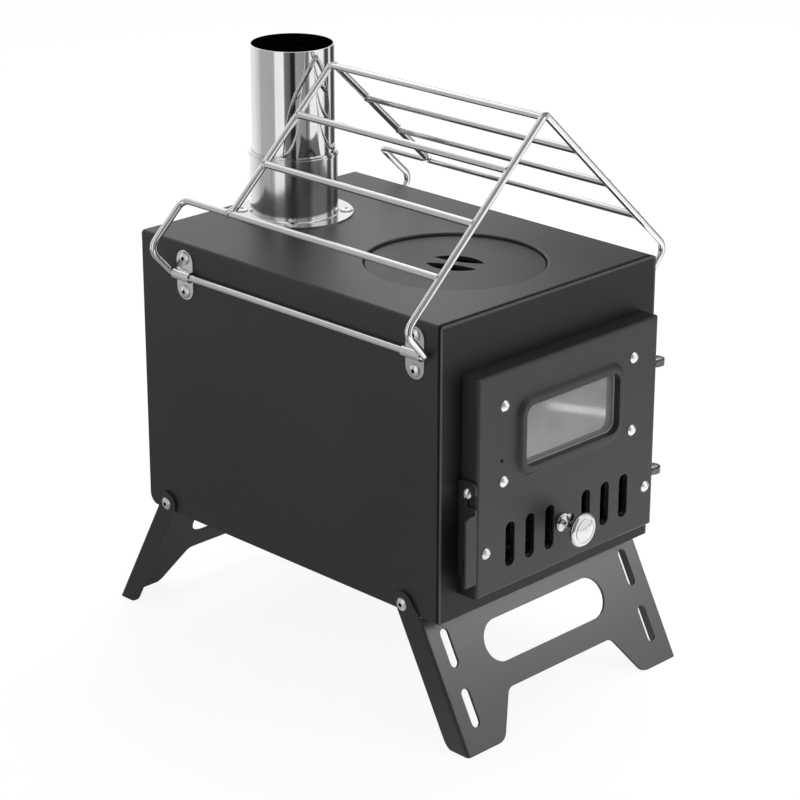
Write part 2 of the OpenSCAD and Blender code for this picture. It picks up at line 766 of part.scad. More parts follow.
module left_rack_loop() color(steel) placed() rack_loop();

module left_rack_rungs() color(steel) placed() rack_rungs();

module right_rack_loop() color(steel) placed() mirror([1, 0, 0]) rack_loop();

module right_rack_rungs() color(steel) placed() mirror([1, 0, 0]) rack_rungs();

// Legs, drawn upright in a frame at the pivot: the plate's face looks along -Y

module leg(off) difference() {
    top = plate_top(off);
    half = ear_outer_x;
    foot = foot_line(-off);
    corner = [-off, -top];
    line_r = leg_ear_r - bend_seat;
    touch = atan2(-top, -off) - acos(line_r / norm(corner));
    intersection() {
        along_z(foot - overrun, leg_ear_r + overrun) difference() {
            leg_section(off, half, leg_bend_r);
            translate([0, leg_t]) leg_section(off, half - leg_t, leg_bend_r - leg_t);
        }
        along_x(-2 * half, 2 * half) union() {
            circle(leg_ear_r);
            polygon(rounded([
                [line_r * cos(touch), line_r * sin(touch)],
                corner,
                [-off, foot],
                [leg_ear_r, foot_line(leg_ear_r)],
                [leg_ear_r, 0],
                [0, 0]
            ], [0, 0, 0, foot_r, 0, 0]));
        }
        along_y(-2 * off, 2 * off) leg_front(top, half, -foot);
    }
    translate([0, 0, -top - cut_v - cut_h / 2]) along_y(-2 * off, 0) stadium(cut_l, cut_h);
    for (side = [-1, 1], i = [0, 1])
        translate([
            side * (half - side_slot_x),
            0,
            -top - side_slot_v - side_slot_l / 2 - i * side_slot_pitch
        ])
            along_y(-2 * off, 0) rotate(90) stadium(side_slot_l, side_slot_w);
    rotate([0, 90, 0]) cylinder(h = 4 * half, r = rivet_d / 2 + turn_fit, center = true);
}

// The channel that the leg sheet is folded to, seen from above
module leg_section(off, half, r) translate([0, -off]) {
    translate([-half, r]) square([2 * half, off + leg_ear_r + overrun - r]);
    translate([r - half, 0]) square([2 * (half - r), r + overrun]);
    for (side = [-1, 1]) translate([side * (half - r), r]) circle(r);
}

// The outline of the unfolded leg plate from the front, with its ears above the top edge
module leg_front(top, half, foot) {
    foot_x = arch_w / 2 + (foot - top - arch_v) * tan(arch_slope);
    difference() {
        translate([-half, -foot]) square([2 * half, foot - top]);
        polygon(rounded([
            [-foot_x, -foot],
            [-arch_w / 2, -top - arch_v],
            [arch_w / 2, -top - arch_v],
            [foot_x, -foot],
            [half - leg_bend_r, -foot],
            [half - leg_bend_r, -foot - overrun],
            [leg_bend_r - half, -foot - overrun],
            [leg_bend_r - half, -foot]
        ], [foot_r, arch_r, arch_r, foot_r, 0, 0, 0, 0]));
    }
    for (side = [-1, 1]) translate([side * (half - leg_t / 2), (leg_ear_r - top) / 2])
        square([leg_t, top + leg_ear_r + overrun], center = true);
}

module front_leg() color(paint) placed()
    translate([0, front_pivot_y, leg_pivot_z]) rotate([-leg_lean, 0, 0]) leg(front_plate_off);

module rear_leg() color(paint) placed()
    translate([0, rear_pivot_y, leg_pivot_z]) mirror([0, 1, 0]) rotate([-leg_lean, 0, 0]) leg(rear_plate_off);

module leg_rivets(y) for (side = [0, 1]) mirror([side, 0, 0])
    translate([-ear_outer_x - ear_gap, y, leg_pivot_z]) rotate([0, -90, 0])
        rivet(ear_gap + leg_t + clear + sheet_t);

module front_leg_rivets() color(steel) placed() leg_rivets(front_pivot_y);

module rear_leg_rivets() color(steel) placed() leg_rivets(rear_pivot_y);

// Hinge

module hinge_brackets() color(dark_steel) placed() for (z = hinge_tops) difference() {
    union() {
        along_z(z - ear_t, z) hinge_ear_outline();
        translate([hinge_x - ear_r, -hinge_foot_t, z - hinge_foot_h])
            cube([2 * ear_r, hinge_foot_t, hinge_foot_h]);
    }
    translate([hinge_x, hinge_y, z - overrun]) cylinder(h = 2 * overrun, r = pin_r);
}

// A round ended ear that runs back from the hinge axis to the front panel
module hinge_ear_outline() {
    translate([hinge_x, hinge_y]) circle(ear_r);
    translate([hinge_x - ear_r, hinge_y]) square([2 * ear_r, -hinge_y]);
}

module door_hinge_ears() color(dark_steel) placed() for (z = hinge_tops) difference() {
    along_z(z + ear_gap, z + ear_gap + ear_t) {
        translate([hinge_x, hinge_y]) circle(ear_r);
        translate([door_right, hinge_y - ear_r]) square([hinge_off, 2 * ear_r]);
    }
    translate([hinge_x, hinge_y, z - overrun]) cylinder(h = 2 * overrun + ear_t, r = pin_r + turn_fit);
}

module hinge_pins() color(steel) placed() for (z = hinge_tops)
    translate([hinge_x, hinge_y, z + 2 * ear_gap + ear_t]) rotate_extrude() {
        grip = 2 * ear_t + 2 * ear_gap;
        intersection() {
            square([rivet_head_d / 2, rivet_head_h]);
            translate([0, rivet_head_h - dome_r()]) circle(dome_r());
        }
        translate([0, -grip]) square([pin_r, grip]);
        translate([0, -grip - rivet_head_h]) square([rivet_d * tail_share / 2, rivet_head_h]);
    }

// Door

module door_pan() color(paint) placed() difference() {
    union() {
        difference() {
            pan_block(0, pan_back);
            pan_block(sheet_t, overrun);
            window_hole(window_w + 2 * bead_w, window_h + 2 * bead_w, window_r + bead_w);
        }
        window_bead();
    }
    air_cuts();
    window_screw_places() screw_hole();
    guide_screw_places() screw_hole();
    translate([door_left, latch_pivot_y, latch_pivot_z]) rotate([0, 90, 0])
        cylinder(h = 2 * overrun, d = screw_d, center = true);
    translate([door_x - window_screw_x - screw_d / 2, 0, window_mid - window_screw_z / 2 + screw_d / 2])
        face_cut() circle(d = sight_d);
}

// The pan, or with an inset its hollow, with its edges bent round the face
module pan_block(inset, back) intersection() {
    front = door_face + inset;
    r = pan_bend_r - inset;
    along_z(door_z + inset, door_top - inset)
        translate([door_x, 0]) pan_outline(door_w / 2 - inset, front, back, r);
    along_x(-body_w, body_w)
        translate([0, door_z + door_h / 2]) mirror([1, -1]) pan_outline(door_h / 2 - inset, front, back, r);
}

module pan_outline(half, front, back, r) {
    translate([-half, front + r]) square([2 * half, back - front - r]);
    translate([r - half, front]) square([2 * (half - r), back - front]);
    for (side = [-1, 1]) translate([side * (half - r), front + r]) circle(r);
}

module face_cut() along_y(door_face - overrun, pan_inner + overrun) children();

module window_hole(w, h, r) translate([door_x, 0, window_mid]) face_cut() rounded_rect(w, h, r);

module window_screw_places() for (x = [-1, 1], z = [-1, 1])
    translate([door_x + x * window_screw_x, door_face, window_mid + z * window_screw_z])
        rotate([90, 0, 0]) children();

module guide_screw_places() for (x = [-1, 1])
    translate([door_x + x * guide_screw_x, door_face, air_mid]) rotate([90, 0, 0]) children();

module screw_hole() translate([0, 0, -2 * overrun]) cylinder(h = 4 * overrun, d = screw_d);

module air_slots_cut() for (x = air_places)
    translate([x, 0, air_mid]) face_cut() rotate(90) stadium(air_slot_h, air_slot_w);

// The air slots and the slot that the knob's stem travels in
module air_cuts() {
    air_slots_cut();
    translate([knob_at + air_travel / 2, 0, air_mid])
        face_cut() stadium(air_travel + stem_slot_w, stem_slot_w);
}

// Section of the window bead: across from the outer edge, and out of the face
function bead_rise(u) = bead_h * (1 - cos(180 * min(1, u / bead_ramp))) / 2;

module bead_section() {
    places = [for (i = [0 : bead_steps]) i * bead_ramp / bead_steps];
    polygon(concat(
        [for (u = places) [-u, bead_rise(u)]],
        [[-bead_w, bead_h], [-bead_w, -sheet_t], [sheet_t - bead_w, -sheet_t]],
        [for (i = [bead_steps : -1 : 0]) [-places[i], bead_rise(places[i]) - sheet_t]]
    ));
}

// The drawn bead: straight runs and quarter turns of one section
module window_bead() translate([door_x, door_face, window_mid]) rotate([90, 0, 0]) {
    r = window_r + bead_w;
    run_x = window_w / 2 - window_r;
    run_z = window_h / 2 - window_r;
    for (a = [0 : 90 : 270]) {
        wide = a == 90 || a == 270;
        side = wide ? run_x : run_z;
        out = wide ? run_z : run_x;
        rotate([0, 0, a]) {
            translate([out + r, side, 0]) rotate([90, 0, 0]) linear_extrude(2 * side) bead_section();
            translate([out, side, 0]) rotate_extrude(angle = 90) translate([r, 0]) bead_section();
        }
    }
}

module window_gasket() color("#d8d5cc") placed() translate([door_x, 0, window_mid])
    along_y(pan_inner, gasket_back) difference() {
        rounded_rect(glass_w, glass_h, window_r);
        rounded_rect(window_w, window_h, window_r);
    }

module window_glass() color([0.6, 0.62, 0.63, 0.5]) placed() translate([door_x, 0, window_mid])
    along_y(gasket_back, glass_back) rounded_rect(glass_w, glass_h, window_r / 2);

// A pressed frame: its rim sits on the pan, its middle is raised over the glass
module window_retainer() color(steel) placed() translate([door_x, 0, window_mid]) difference() {
    pocket = [glass_w + 2 * clear, glass_h + 2 * clear];
    along_y(pan_inner, glass_back + retainer_t) square([retainer_w, retainer_h], center = true);
    along_y(pan_inner - overrun, glass_back) square(pocket, center = true);
    along_y(pan_inner - overrun, glass_back + 2 * overrun) rounded_rect(window_w, window_h, window_r);
    difference() {
        along_y(pan_inner + retainer_t, glass_back + 2 * overrun)
            square([2 * retainer_w, 2 * retainer_h], center = true);
        along_y(pan_inner, glass_back + 3 * overrun)
            square([pocket.x + 2 * retainer_t, pocket.y + 2 * retainer_t], center = true);
    }
    for (x = [-1, 1], z = [-1, 1])
        translate([x * window_screw_x, pan_inner, z * window_screw_z]) rotate([90, 0, 0])
            cylinder(h = 4 * overrun, d = screw_d, center = true);
}

module window_screws() color(steel) placed() window_screw_places() screw(sheet_t + 2 * retainer_t);

module guide_screws() color(steel) placed() guide_screw_places() screw(sheet_t + 2 * slider_t);

// Air control

// The guide holds the slider against the pan: a plate with its ends set forward
module air_guide() color(steel) placed() difference() {
    translate([door_x, 0, air_mid]) union() {
        along_y(guide_front, guide_back) square([guide_w - 2 * guide_pad_w, slider_h], center = true);
        for (x = [-1, 1]) {
            translate([x * (guide_w - guide_pad_w) / 2, 0, 0])
                along_y(pan_inner, pan_inner + slider_t) square([guide_pad_w, slider_h], center = true);
            translate([x * (guide_w / 2 - guide_pad_w - slider_t / 2), 0, 0])
                along_y(pan_inner, guide_back) square([slider_t, slider_h], center = true);
        }
    }
    air_cuts();
    guide_screw_places() screw_hole();
}

module air_slider() color(steel) placed() difference() {
    translate([door_x - air_travel / 2, 0, air_mid]) along_y(slider_front, slider_back)
        square([2 * slots_reach + air_travel, slider_h - 2 * clear], center = true);
    air_slots_cut();
    translate([knob_at, 0, air_mid]) face_cut() circle(knob_tenon_r);
}

// Stem of the knob: a tenon through the slider, a foot on the door and a waisted neck
module knob_stem() color(steel) placed() turned_to_front(knob_at, 0, air_mid) {
    neck_r = knob_stem_d / 2;
    foot_top = -knob_foot_y + knob_foot_t;
    head = -knob_back;
    neck = head - foot_top;
    translate([0, -slider_back - slider_t / 2]) square([neck_r, slider_t / 2]);
    translate([0, -slider_back]) square([knob_tenon_r, slider_t]);
    translate([0, -slider_front]) square([neck_r, -knob_foot_y + slider_front]);
    translate([0, -knob_foot_y]) square([knob_foot_d / 2, knob_foot_t]);
    difference() {
        translate([0, foot_top]) square([neck_r + neck / 6, neck]);
        translate([neck_r * waist_share + neck / 2, foot_top + neck / 2]) circle(neck / 2);
    }
}

// Head of the knob: a round rim with a groove round a domed middle
module knob_head() color(steel) placed() turned_to_front(knob_at, 0, air_mid)
    translate([0, -knob_back]) difference() {
        rim = knob_t * knob_rim_share;
        groove_r = knob_d / 2 * knob_groove_share;
        groove_w = knob_t * groove_width_share;
        face_r = arc_radius(2 * groove_r, knob_t - 2 * rim);
        union() {
            square([knob_d / 2 - rim, 2 * rim]);
            translate([knob_d / 2 - rim, rim]) circle(rim);
            intersection() {
                square([groove_r, knob_t]);
                translate([0, knob_t - face_r]) circle(face_r);
            }
        }
        translate([groove_r - groove_w / 2, 2 * rim - groove_w]) square([groove_w, knob_t]);
    }

// Latch

module latch_lever() color(paint) placed() difference() {
    union() {
        along_x(latch_outer, latch_inner) latch_outline();
        along_z(latch_bottom, finger_flange_top) translate([latch_outer - finger_flange_w, latch_front])
            square([finger_flange_w + latch_t, latch_t]);
    }
    translate([latch_outer - finger_flange_w, latch_front, finger_flange_top - latch_t])
        rotate([0, -finger_flange_slope, 0]) translate([-finger_flange_w, -overrun, 0])
            cube([4 * finger_flange_w, 3 * overrun, finger_flange_w]);
    translate([latch_outer, latch_pivot_y, latch_pivot_z]) rotate([0, 90, 0])
        cylinder(h = 2 * overrun, r = screw_d / 2 + turn_fit, center = true);
    translate([0, latch_pivot_y + latch_t / 2, latch_slot_z])
        along_x(latch_outer - overrun, latch_inner + overrun) rotate(90) stadium(latch_slot_h, latch_slot_w);
}

// The lever from the side, with the nose that enters the front panel
module latch_outline() polygon(rounded([
    [latch_front, latch_bottom],
    [latch_back, latch_bottom],
    [latch_back, nose_bottom - nose_reach],
    [nose_reach, nose_bottom],
    [nose_reach, nose_top],
    [latch_back - nose_reach / 2, latch_top],
    [latch_front, latch_top]
], [0, latch_heel_r, 0, latch_t, latch_t, latch_top_r, latch_top_r]));

module latch_screw() color(steel) placed() translate([latch_outer - ear_gap, latch_pivot_y, latch_pivot_z])
    rotate([0, -90, 0]) screw(ear_gap + latch_t + latch_gap + 2 * sheet_t);

module latch_washer() color(steel) placed()
    translate([latch_inner + ear_gap, latch_pivot_y, latch_pivot_z]) rotate([0, 90, 0]) difference() {
        cylinder(h = latch_gap - ear_gap, d = screw_head_d);
        translate([0, 0, -overrun]) cylinder(h = 2 * overrun, d = screw_d);
    }

body_wrap();
front_panel();
bottom_and_back();
fire_grate();
flue_flange();
flue_spigot();
flue_rivets();
left_rack_straps();
right_rack_straps();
left_strap_rivets();
right_strap_rivets();
front_leg_rivets();
rear_leg_rivets();
hinge_brackets();
hinge_pins();
door_pan();
door_hinge_ears();
window_glass();
window_gasket();
window_retainer();
window_screws();
air_guide();
guide_screws();
latch_screw();
latch_washer();
air_slider();
knob_stem();
knob_head();
latch_lever();
cooking_lid();
flue_pipe();
left_rack_loop();
left_rack_rungs();
right_rack_loop();
right_rack_rungs();
front_leg();
rear_leg();
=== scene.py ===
import math

import bmesh
import bpy
from mathutils import Matrix, Vector


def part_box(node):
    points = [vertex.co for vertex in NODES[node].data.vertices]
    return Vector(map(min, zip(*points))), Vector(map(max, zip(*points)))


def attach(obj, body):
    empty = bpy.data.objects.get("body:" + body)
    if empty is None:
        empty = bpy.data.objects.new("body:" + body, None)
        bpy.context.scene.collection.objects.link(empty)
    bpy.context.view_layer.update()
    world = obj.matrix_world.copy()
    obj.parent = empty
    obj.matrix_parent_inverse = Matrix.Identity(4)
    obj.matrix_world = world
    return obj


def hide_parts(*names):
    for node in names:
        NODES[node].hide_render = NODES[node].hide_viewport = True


bl_info = {
    "name": "Tent Stove",
    "version": (1, 0, 0),
    "blender": (4, 5, 0),
    "location": "View3D > Sidebar > Stove",
    "description": "Finishes a folding tent stove: paint, polished flue, wire racks, window and stage",
    "category": "Object",
}

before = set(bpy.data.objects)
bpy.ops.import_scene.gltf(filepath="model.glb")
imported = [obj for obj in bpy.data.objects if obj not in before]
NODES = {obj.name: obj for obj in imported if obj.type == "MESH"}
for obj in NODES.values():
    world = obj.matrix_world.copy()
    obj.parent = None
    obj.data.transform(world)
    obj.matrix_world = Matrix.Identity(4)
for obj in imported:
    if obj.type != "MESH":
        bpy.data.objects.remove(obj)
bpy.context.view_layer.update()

# Places that the solids give, in metres
WALL_X = 0.106
SHEET = 0.0015
FRONT_Y = -0.146307
BACK_Y = 0.146693
BOTTOM_Z = 0.0873
PLATE_Z = 0.2953
FLUE = Vector((0.0, 0.102893, 0.0))

# Painted shade and highlight on the paint, in metres. The seam's painted shade reaches SEAM_DEPTH behind the
# front face, SEAM_ON_PLATE further on the cooking plate, and fades over SEAM_FADE. The painted rim highlight
# starts RIM_START from the front panel's edge and is full from RIM_FULL on, and between the two RIM_DEPTHS it
# turns into the seam's painted shade.
SEAM_DEPTH = 0.0024
SEAM_FADE = 0.001
SEAM_ON_PLATE = 0.0015
RIM_START = 0.002
RIM_FULL = 0.001
RIM_DEPTHS = (0.0004, 0.0008)
SHADOW = (0.001, 0.001, 0.001, 1.0)
SOOT = (0.006, 0.0055, 0.005, 1.0)


class Signal:
    """A shader value that can stand in a Python expression"""

    def __init__(self, finish, socket):
        self.finish = finish
        self.socket = socket

    def maths(self, operation, *terms):
        return self.finish.node("ShaderNodeMath", {"operation": operation}, dict(enumerate(terms)))

    def __add__(self, other):
        return self.maths("ADD", self, other)

    def __radd__(self, other):
        return self.maths("ADD", other, self)

    def __sub__(self, other):
        return self.maths("SUBTRACT", self, other)

    def __rsub__(self, other):
        return self.maths("SUBTRACT", other, self)

    def __mul__(self, other):
        return self.maths("MULTIPLY", self, other)

    def __rmul__(self, other):
        return self.maths("MULTIPLY", other, self)

    def __truediv__(self, other):
        return self.maths("DIVIDE", self, other)

    def __lt__(self, other):
        return self.maths("LESS_THAN", self, other)

    def __gt__(self, other):
        return self.maths("GREATER_THAN", self, other)

    def __abs__(self):
        return self.maths("ABSOLUTE", self)


class Finish:
    """A material being built: its shader, and the nodes that feed it"""

    def __init__(self, name, **constants):
        self.material = bpy.data.materials.new(name)
        self.material.use_nodes = True
        self.tree = self.material.node_tree
        self.shader = self.tree.nodes["Principled BSDF"]
        for socket, value in constants.items():
            self.shader.inputs[socket.replace("_", " ")].default_value = value

    def node(self, kind, settings=None, inputs=None, output=0):
        """A new node with its settings and what feeds it, as the signal of one of its outputs"""
        made = self.tree.nodes.new(kind)
        for name, value in (settings or {}).items():
            if name == "stops":
                set_stops(made.color_ramp, value)
            else:
                setattr(made, name, value)
        for key, value in (inputs or {}).items():
            self.feed(made.inputs[key], value)
        return Signal(self, made.outputs[output])

    def feed(self, socket, value):
        """Links a signal to a socket, or sets the socket to a plain value"""
        if isinstance(value, Signal):
            self.tree.links.new(value.socket, socket)
        else:
            socket.default_value = value

    def set(self, socket, value):
        self.feed(self.shader.inputs[socket], value)

    def glow(self, strength):
        """A plain white light"""
        return self.node("ShaderNodeEmission", inputs={"Strength": strength})

    def blend(self, share, one, other):
        """Two shaders mixed"""
        made = self.node("ShaderNodeMixShader", inputs={0: share})
        for socket, shader in ((1, one), (2, other)):
            self.tree.links.new(getattr(shader, "socket", shader), made.socket.node.inputs[socket])
        return made

    def show(self, shader):
        self.feed(self.tree.nodes["Material Output"].inputs["Surface"], shader)

    def place(self, stretch=(1, 1, 1)):
        """Where a point is on its object, in metres, stretched along the axes"""
        where = self.node("ShaderNodeTexCoord", output="Object")
        if tuple(stretch) == (1, 1, 1):
            return where
        return self.node("ShaderNodeMapping", inputs={"Vector": where, "Scale": stretch})

    def axes(self):
        """The same place as three signals"""
        parts = self.node("ShaderNodeSeparateXYZ", inputs={"Vector": self.place()})
        made = parts.socket.node
        return [Signal(self, made.outputs[axis]) for axis in ("X", "Y", "Z")]

    def noise(self, scale, detail=2.0, roughness=0.5, stretch=(1, 1, 1)):
        return self.node(
            "ShaderNodeTexNoise",
            inputs={"Vector": self.place(stretch), "Scale": scale, "Detail": detail, "Roughness": roughness},
        )

    def step(self, signal, low, high):
        """Rises smoothly from 0 at low to 1 at high"""
        return self.node(
            "ShaderNodeMapRange",
            {"interpolation_type": "SMOOTHSTEP"},
            {"Value": signal, "From Min": low, "From Max": high},
        )

    def mix(self, share, one, other):
        return self.node("ShaderNodeMix", {"data_type": "RGBA"}, {0: share, 6: one, 7: other}, output=2)

    def bump(self, height, distance, strength=1.0, edge=0.0):
        """Relief of the surface, over edges rounded to a radius"""
        inputs = {"Height": height, "Distance": distance, "Strength": strength}
        if edge:
            inputs["Normal"] = self.node("ShaderNodeBevel", {"samples": 6}, {"Radius": edge})
        self.set("Normal", self.node("ShaderNodeBump", inputs=inputs))

    def wave(self, angle):
        return self.node("ShaderNodeMath", {"operation": "SINE"}, {0: angle})

    def distance(self, one, other):
        """Length of the line with these two sides"""
        return self.node("ShaderNodeMath", {"operation": "SQRT"}, {0: one * one + other * other})


def set_stops(ramp, stops):
    """Gives a colour ramp these places and colours"""
    while len(ramp.elements) < len(stops):
        ramp.elements.new(1.0)
    for element, (place, colour) in zip(ramp.elements, stops):
        element.position = place
        element.color = colour


def grey(level):
    """A grey with its alpha"""
    return (level, level, level, 1.0)


def shade(colour, factor):
    """The colour times a factor"""
    return tuple(min(1.0, part * factor) for part in colour[:3]) + (1.0,)


def only_material(piece, material):
    """Gives a piece this one material"""
    piece.data.materials.clear()
    piece.data.materials.append(material)


def dress(material, *names):
    """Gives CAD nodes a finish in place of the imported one"""
    for name in names:
        only_material(NODES[name], material)


def sheet_paint(name, settings, depth=1.0, edge=0.0006, marks=()):
    """Baked-on stove paint with a sandy grain. A depth below 1 darkens the colour and the gloss as painted
    shade, and the marks add the painted shade, the painted highlight and the soot that belong to its place on
    the stove
    """
    finish = Finish(name, Specular_IOR_Level=settings.gloss * depth)
    colour = shade(settings.colour, depth)
    grain = finish.noise(settings.grain, 2.0, 0.6)
    cloud = finish.noise(7.0, 3.0, 0.55)
    speck = finish.step(finish.noise(settings.grain * 0.45, 1.0, 0.5), 0.62, 0.72)
    tone = finish.mix(finish.step(cloud, 0.3, 0.7), shade(colour, 0.86), shade(colour, 1.14))
    tone = finish.mix(grain * 0.5, tone, shade(colour, 1.5))
    tone = finish.mix(speck * 0.25, tone, shade(colour, 2.2))
    rough = settings.roughness + (cloud - 0.5) * 0.1 + (grain - 0.5) * 0.08
    for mark in marks:
        tone, rough = mark(finish, settings, tone, rough)
    finish.set("Base Color", tone)
    finish.set("Roughness", rough)
    finish.bump(grain + speck * 0.5, 0.00002, settings.grain_depth, edge)
    return finish.material


def painted_seam_shade(finish, settings, tone, rough):
    """Darkens the wrap's front edge with painted shade, where its seam to the front panel stands open"""
    x, y, z = finish.axes()
    on_plate = z > PLATE_Z - SHEET / 3
    lit = finish.step(
        y - on_plate * SEAM_ON_PLATE, FRONT_Y + SEAM_DEPTH, FRONT_Y + SEAM_DEPTH + SEAM_FADE
    )
    return finish.mix(lit, SHADOW, tone), rough + (1.0 - lit) * 0.5


def painted_rim_highlight(finish, settings, tone, rough):
    """Paints a highlight on the front panel's rim at the top and the sides, and painted shade on the edge
    behind it
    """
    x, y, z = finish.axes()
    over = finish.step(z, PLATE_Z - RIM_START, PLATE_Z - RIM_FULL)
    beside = finish.step(abs(x), WALL_X - RIM_START, WALL_X - RIM_FULL)
    rim = 1.0 - (1.0 - over) * (1.0 - beside)
    # Painted highlight on the rim, then painted shade on the edge behind it
    tone = finish.mix(rim * 0.7, tone, shade(settings.colour, 6.0))
    behind = rim * finish.step(y, *(FRONT_Y + depth for depth in RIM_DEPTHS))
    return finish.mix(behind, tone, SHADOW), rough + behind * 0.5


def sooty_inside(finish, settings, tone, rough):
    """Soots the faces that look into the stove"""
    x, y, z = finish.axes()
    skin = SHEET / 2
    inside = (abs(x) < WALL_X - skin) * (y > FRONT_Y + skin) * (y < BACK_Y - skin)
    inside = inside * (z > BOTTOM_Z + skin) * (z < PLATE_Z - skin)
    soot = finish.noise(30.0, 4.0, 0.6)
    return finish.mix(inside * finish.step(soot, 0.2, 0.7), tone, SOOT), rough + inside * 0.3


def bright_steel(name, colour, roughness, lines, line_scale, wear=0.0, streak=0.0):
    """Stainless steel with the fine lines that drawing, rolling or turning left"""
    finish = Finish(name, Metallic=1.0, Anisotropic=streak, Anisotropic_Rotation=0.25)
    colour = tuple(colour)
    line = finish.noise(line_scale, 3.0, 0.6, lines)
    cloud = finish.noise(22.0, 2.0, 0.5)
    tone = finish.mix(line, shade(colour, 0.9), shade(colour, 1.06))
    tone = finish.mix(finish.step(cloud, 0.35, 0.75) * 0.35, tone, shade(colour, 0.82))
    finish.set("Base Color", tone)
    finish.set("Roughness", roughness + (line - 0.5) * roughness * 0.7 + finish.step(cloud, 0.5, 0.8) * wear)
    finish.bump(line, 0.000004, 0.6)
    return finish.material


class StovePaintSettings(bpy.types.PropertyGroup):
    """Paint of the body, the door, the lid and the legs"""

    colour: bpy.props.FloatVectorProperty(
        name="Colour", description="Colour of the paint", subtype="COLOR", size=4, min=0, max=1,
        default=(0.0185, 0.0185, 0.019, 1.0),
    )
    roughness: bpy.props.FloatProperty(
        name="Roughness", description="Roughness of the paint", subtype="FACTOR", min=0, max=1,
        default=0.42,
    )
    gloss: bpy.props.FloatProperty(
        name="Gloss", description="Strength of the paint's reflection", subtype="FACTOR", min=0, max=1,
        default=0.5,
    )
    grain: bpy.props.FloatProperty(
        name="Grain", description="Grains in a metre", min=100, max=5000, default=1500
    )
    grain_depth: bpy.props.FloatProperty(
        name="Grain depth", description="Strength of the grain", subtype="FACTOR", min=0, max=1, default=0.35
    )


class StoveSteelSettings(bpy.types.PropertyGroup):
    """Bare steel of the flue, the racks and the fasteners"""

    polished: bpy.props.FloatVectorProperty(
        name="Polished", description="Colour of the polished flue", subtype="COLOR", size=4, min=0, max=1,
        default=(0.80, 0.80, 0.80, 1.0),
    )
    wire: bpy.props.FloatVectorProperty(
        name="Wire", description="Colour of the rack wire", subtype="COLOR", size=4, min=0, max=1,
        default=(0.86, 0.86, 0.86, 1.0),
    )
    plain: bpy.props.FloatVectorProperty(
        name="Plain", description="Colour of the inner plates and pins", subtype="COLOR", size=4,
        min=0, max=1,
        default=(0.74, 0.74, 0.74, 1.0),
    )
    fastener: bpy.props.FloatVectorProperty(
        name="Fasteners", description="Colour of the rivets, screws and straps", subtype="COLOR", size=4,
        min=0, max=1,
        default=(0.93, 0.93, 0.93, 1.0),
    )
    hinge: bpy.props.FloatVectorProperty(
        name="Hinges", description="Colour of the hinges", subtype="COLOR", size=4, min=0, max=1,
        default=(0.16, 0.16, 0.16, 1.0),
    )
    grate: bpy.props.FloatVectorProperty(
        name="Grate", description="Colour of the scaled grate", subtype="COLOR", size=4, min=0, max=1,
        default=(0.035, 0.032, 0.03, 1.0),
    )
    weld: bpy.props.FloatProperty(
        name="Weld", description="Width of a weld bead", subtype="DISTANCE", unit="LENGTH",
        min=0.0002, max=0.0015, default=0.0007,
    )


class StoveWindowSettings(bpy.types.PropertyGroup):
    """Glass of the door's window and the tape behind it"""

    # Its pale grey is partly a painted reflection of the bright studio
    glass: bpy.props.FloatVectorProperty(
        name="Glass", description="Colour of the glass", subtype="COLOR", size=4, min=0, max=1,
        default=(0.222, 0.228, 0.228, 1.0),
    )
    clearness: bpy.props.FloatProperty(
        name="Clearness", description="How much shows through", subtype="FACTOR", min=0, max=1, default=0.12
    )
    tape: bpy.props.FloatVectorProperty(
        name="Tape", description="Colour of the glass fibre tape", subtype="COLOR", size=4, min=0, max=1,
        default=(0.55, 0.53, 0.48, 1.0),
    )


class StoveStageSettings(bpy.types.PropertyGroup):
    """Camera, lamps, floor and the tent of cards that polished steel mirrors"""

    azimuth: bpy.props.FloatProperty(
        name="Azimuth", description="Camera's turn from the front", subtype="ANGLE", unit="ROTATION",
        default=math.radians(-45.2609),
    )
    elevation: bpy.props.FloatProperty(
        name="Elevation", description="Camera's height angle", subtype="ANGLE", unit="ROTATION",
        default=math.radians(20.9957),
    )
    roll: bpy.props.FloatProperty(
        name="Roll", description="Camera's roll", subtype="ANGLE", unit="ROTATION",
        default=math.radians(-0.0975),
    )
    place: bpy.props.FloatVectorProperty(
        name="Place", description="Camera's place", subtype="TRANSLATION", unit="LENGTH",
        default=(-1.238194, -1.231728, 0.848235),
    )
    lens: bpy.props.FloatProperty(
        name="Lens", description="Focal length", subtype="DISTANCE_CAMERA", min=20, max=300, default=118.508
    )
    tent: bpy.props.FloatProperty(
        name="Tent", description="Radius of the tent of cards", subtype="DISTANCE", unit="LENGTH",
        min=0.5, max=2, default=0.75,
    )


class STOVE_OT_paint_sheets(bpy.types.Operator):
    """Paints the body, the door, the latch and the lid"""

    bl_idname = "stove.paint_sheets"
    bl_label = "Paint the sheets"

    def execute(self, context):
        settings = context.scene.stove_paint
        wrap = sheet_paint("wrap_paint", settings, edge=0.0008, marks=(painted_seam_shade, sooty_inside))
        dress(wrap, "body_wrap")
        # The front panel, the bottom and back, and the lid are darker copies of this paint: painted shade
        panel = sheet_paint("panel_painted_shade", settings, 0.52, 0.0009, (painted_rim_highlight, sooty_inside))
        dress(panel, "front_panel")
        back = sheet_paint("back_painted_shade", settings, 0.62, 0.0014, (sooty_inside,))
        dress(back, "bottom_and_back")
        dress(sheet_paint("door_paint", settings), "door_pan", "latch_lever")
        dress(sheet_paint("lid_painted_shade", settings, 0.7), "cooking_lid")
        return {"FINISHED"}


class STOVE_OT_finish_legs(bpy.types.Operator):
    """Trims the folded sides of the front leg, moves its small slots in, and paints both legs"""

    bl_idname = "stove.finish_legs"
    bl_label = "Finish the legs"

    def execute(self, context):
        paint = sheet_paint("leg_paint", context.scene.stove_paint)
        dress(paint, "rear_leg")
        leg = trimmed_leg()
        only_material(leg, paint)
        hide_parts("front_leg")
        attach(leg, "front_leg_frame")
        return {"FINISHED"}


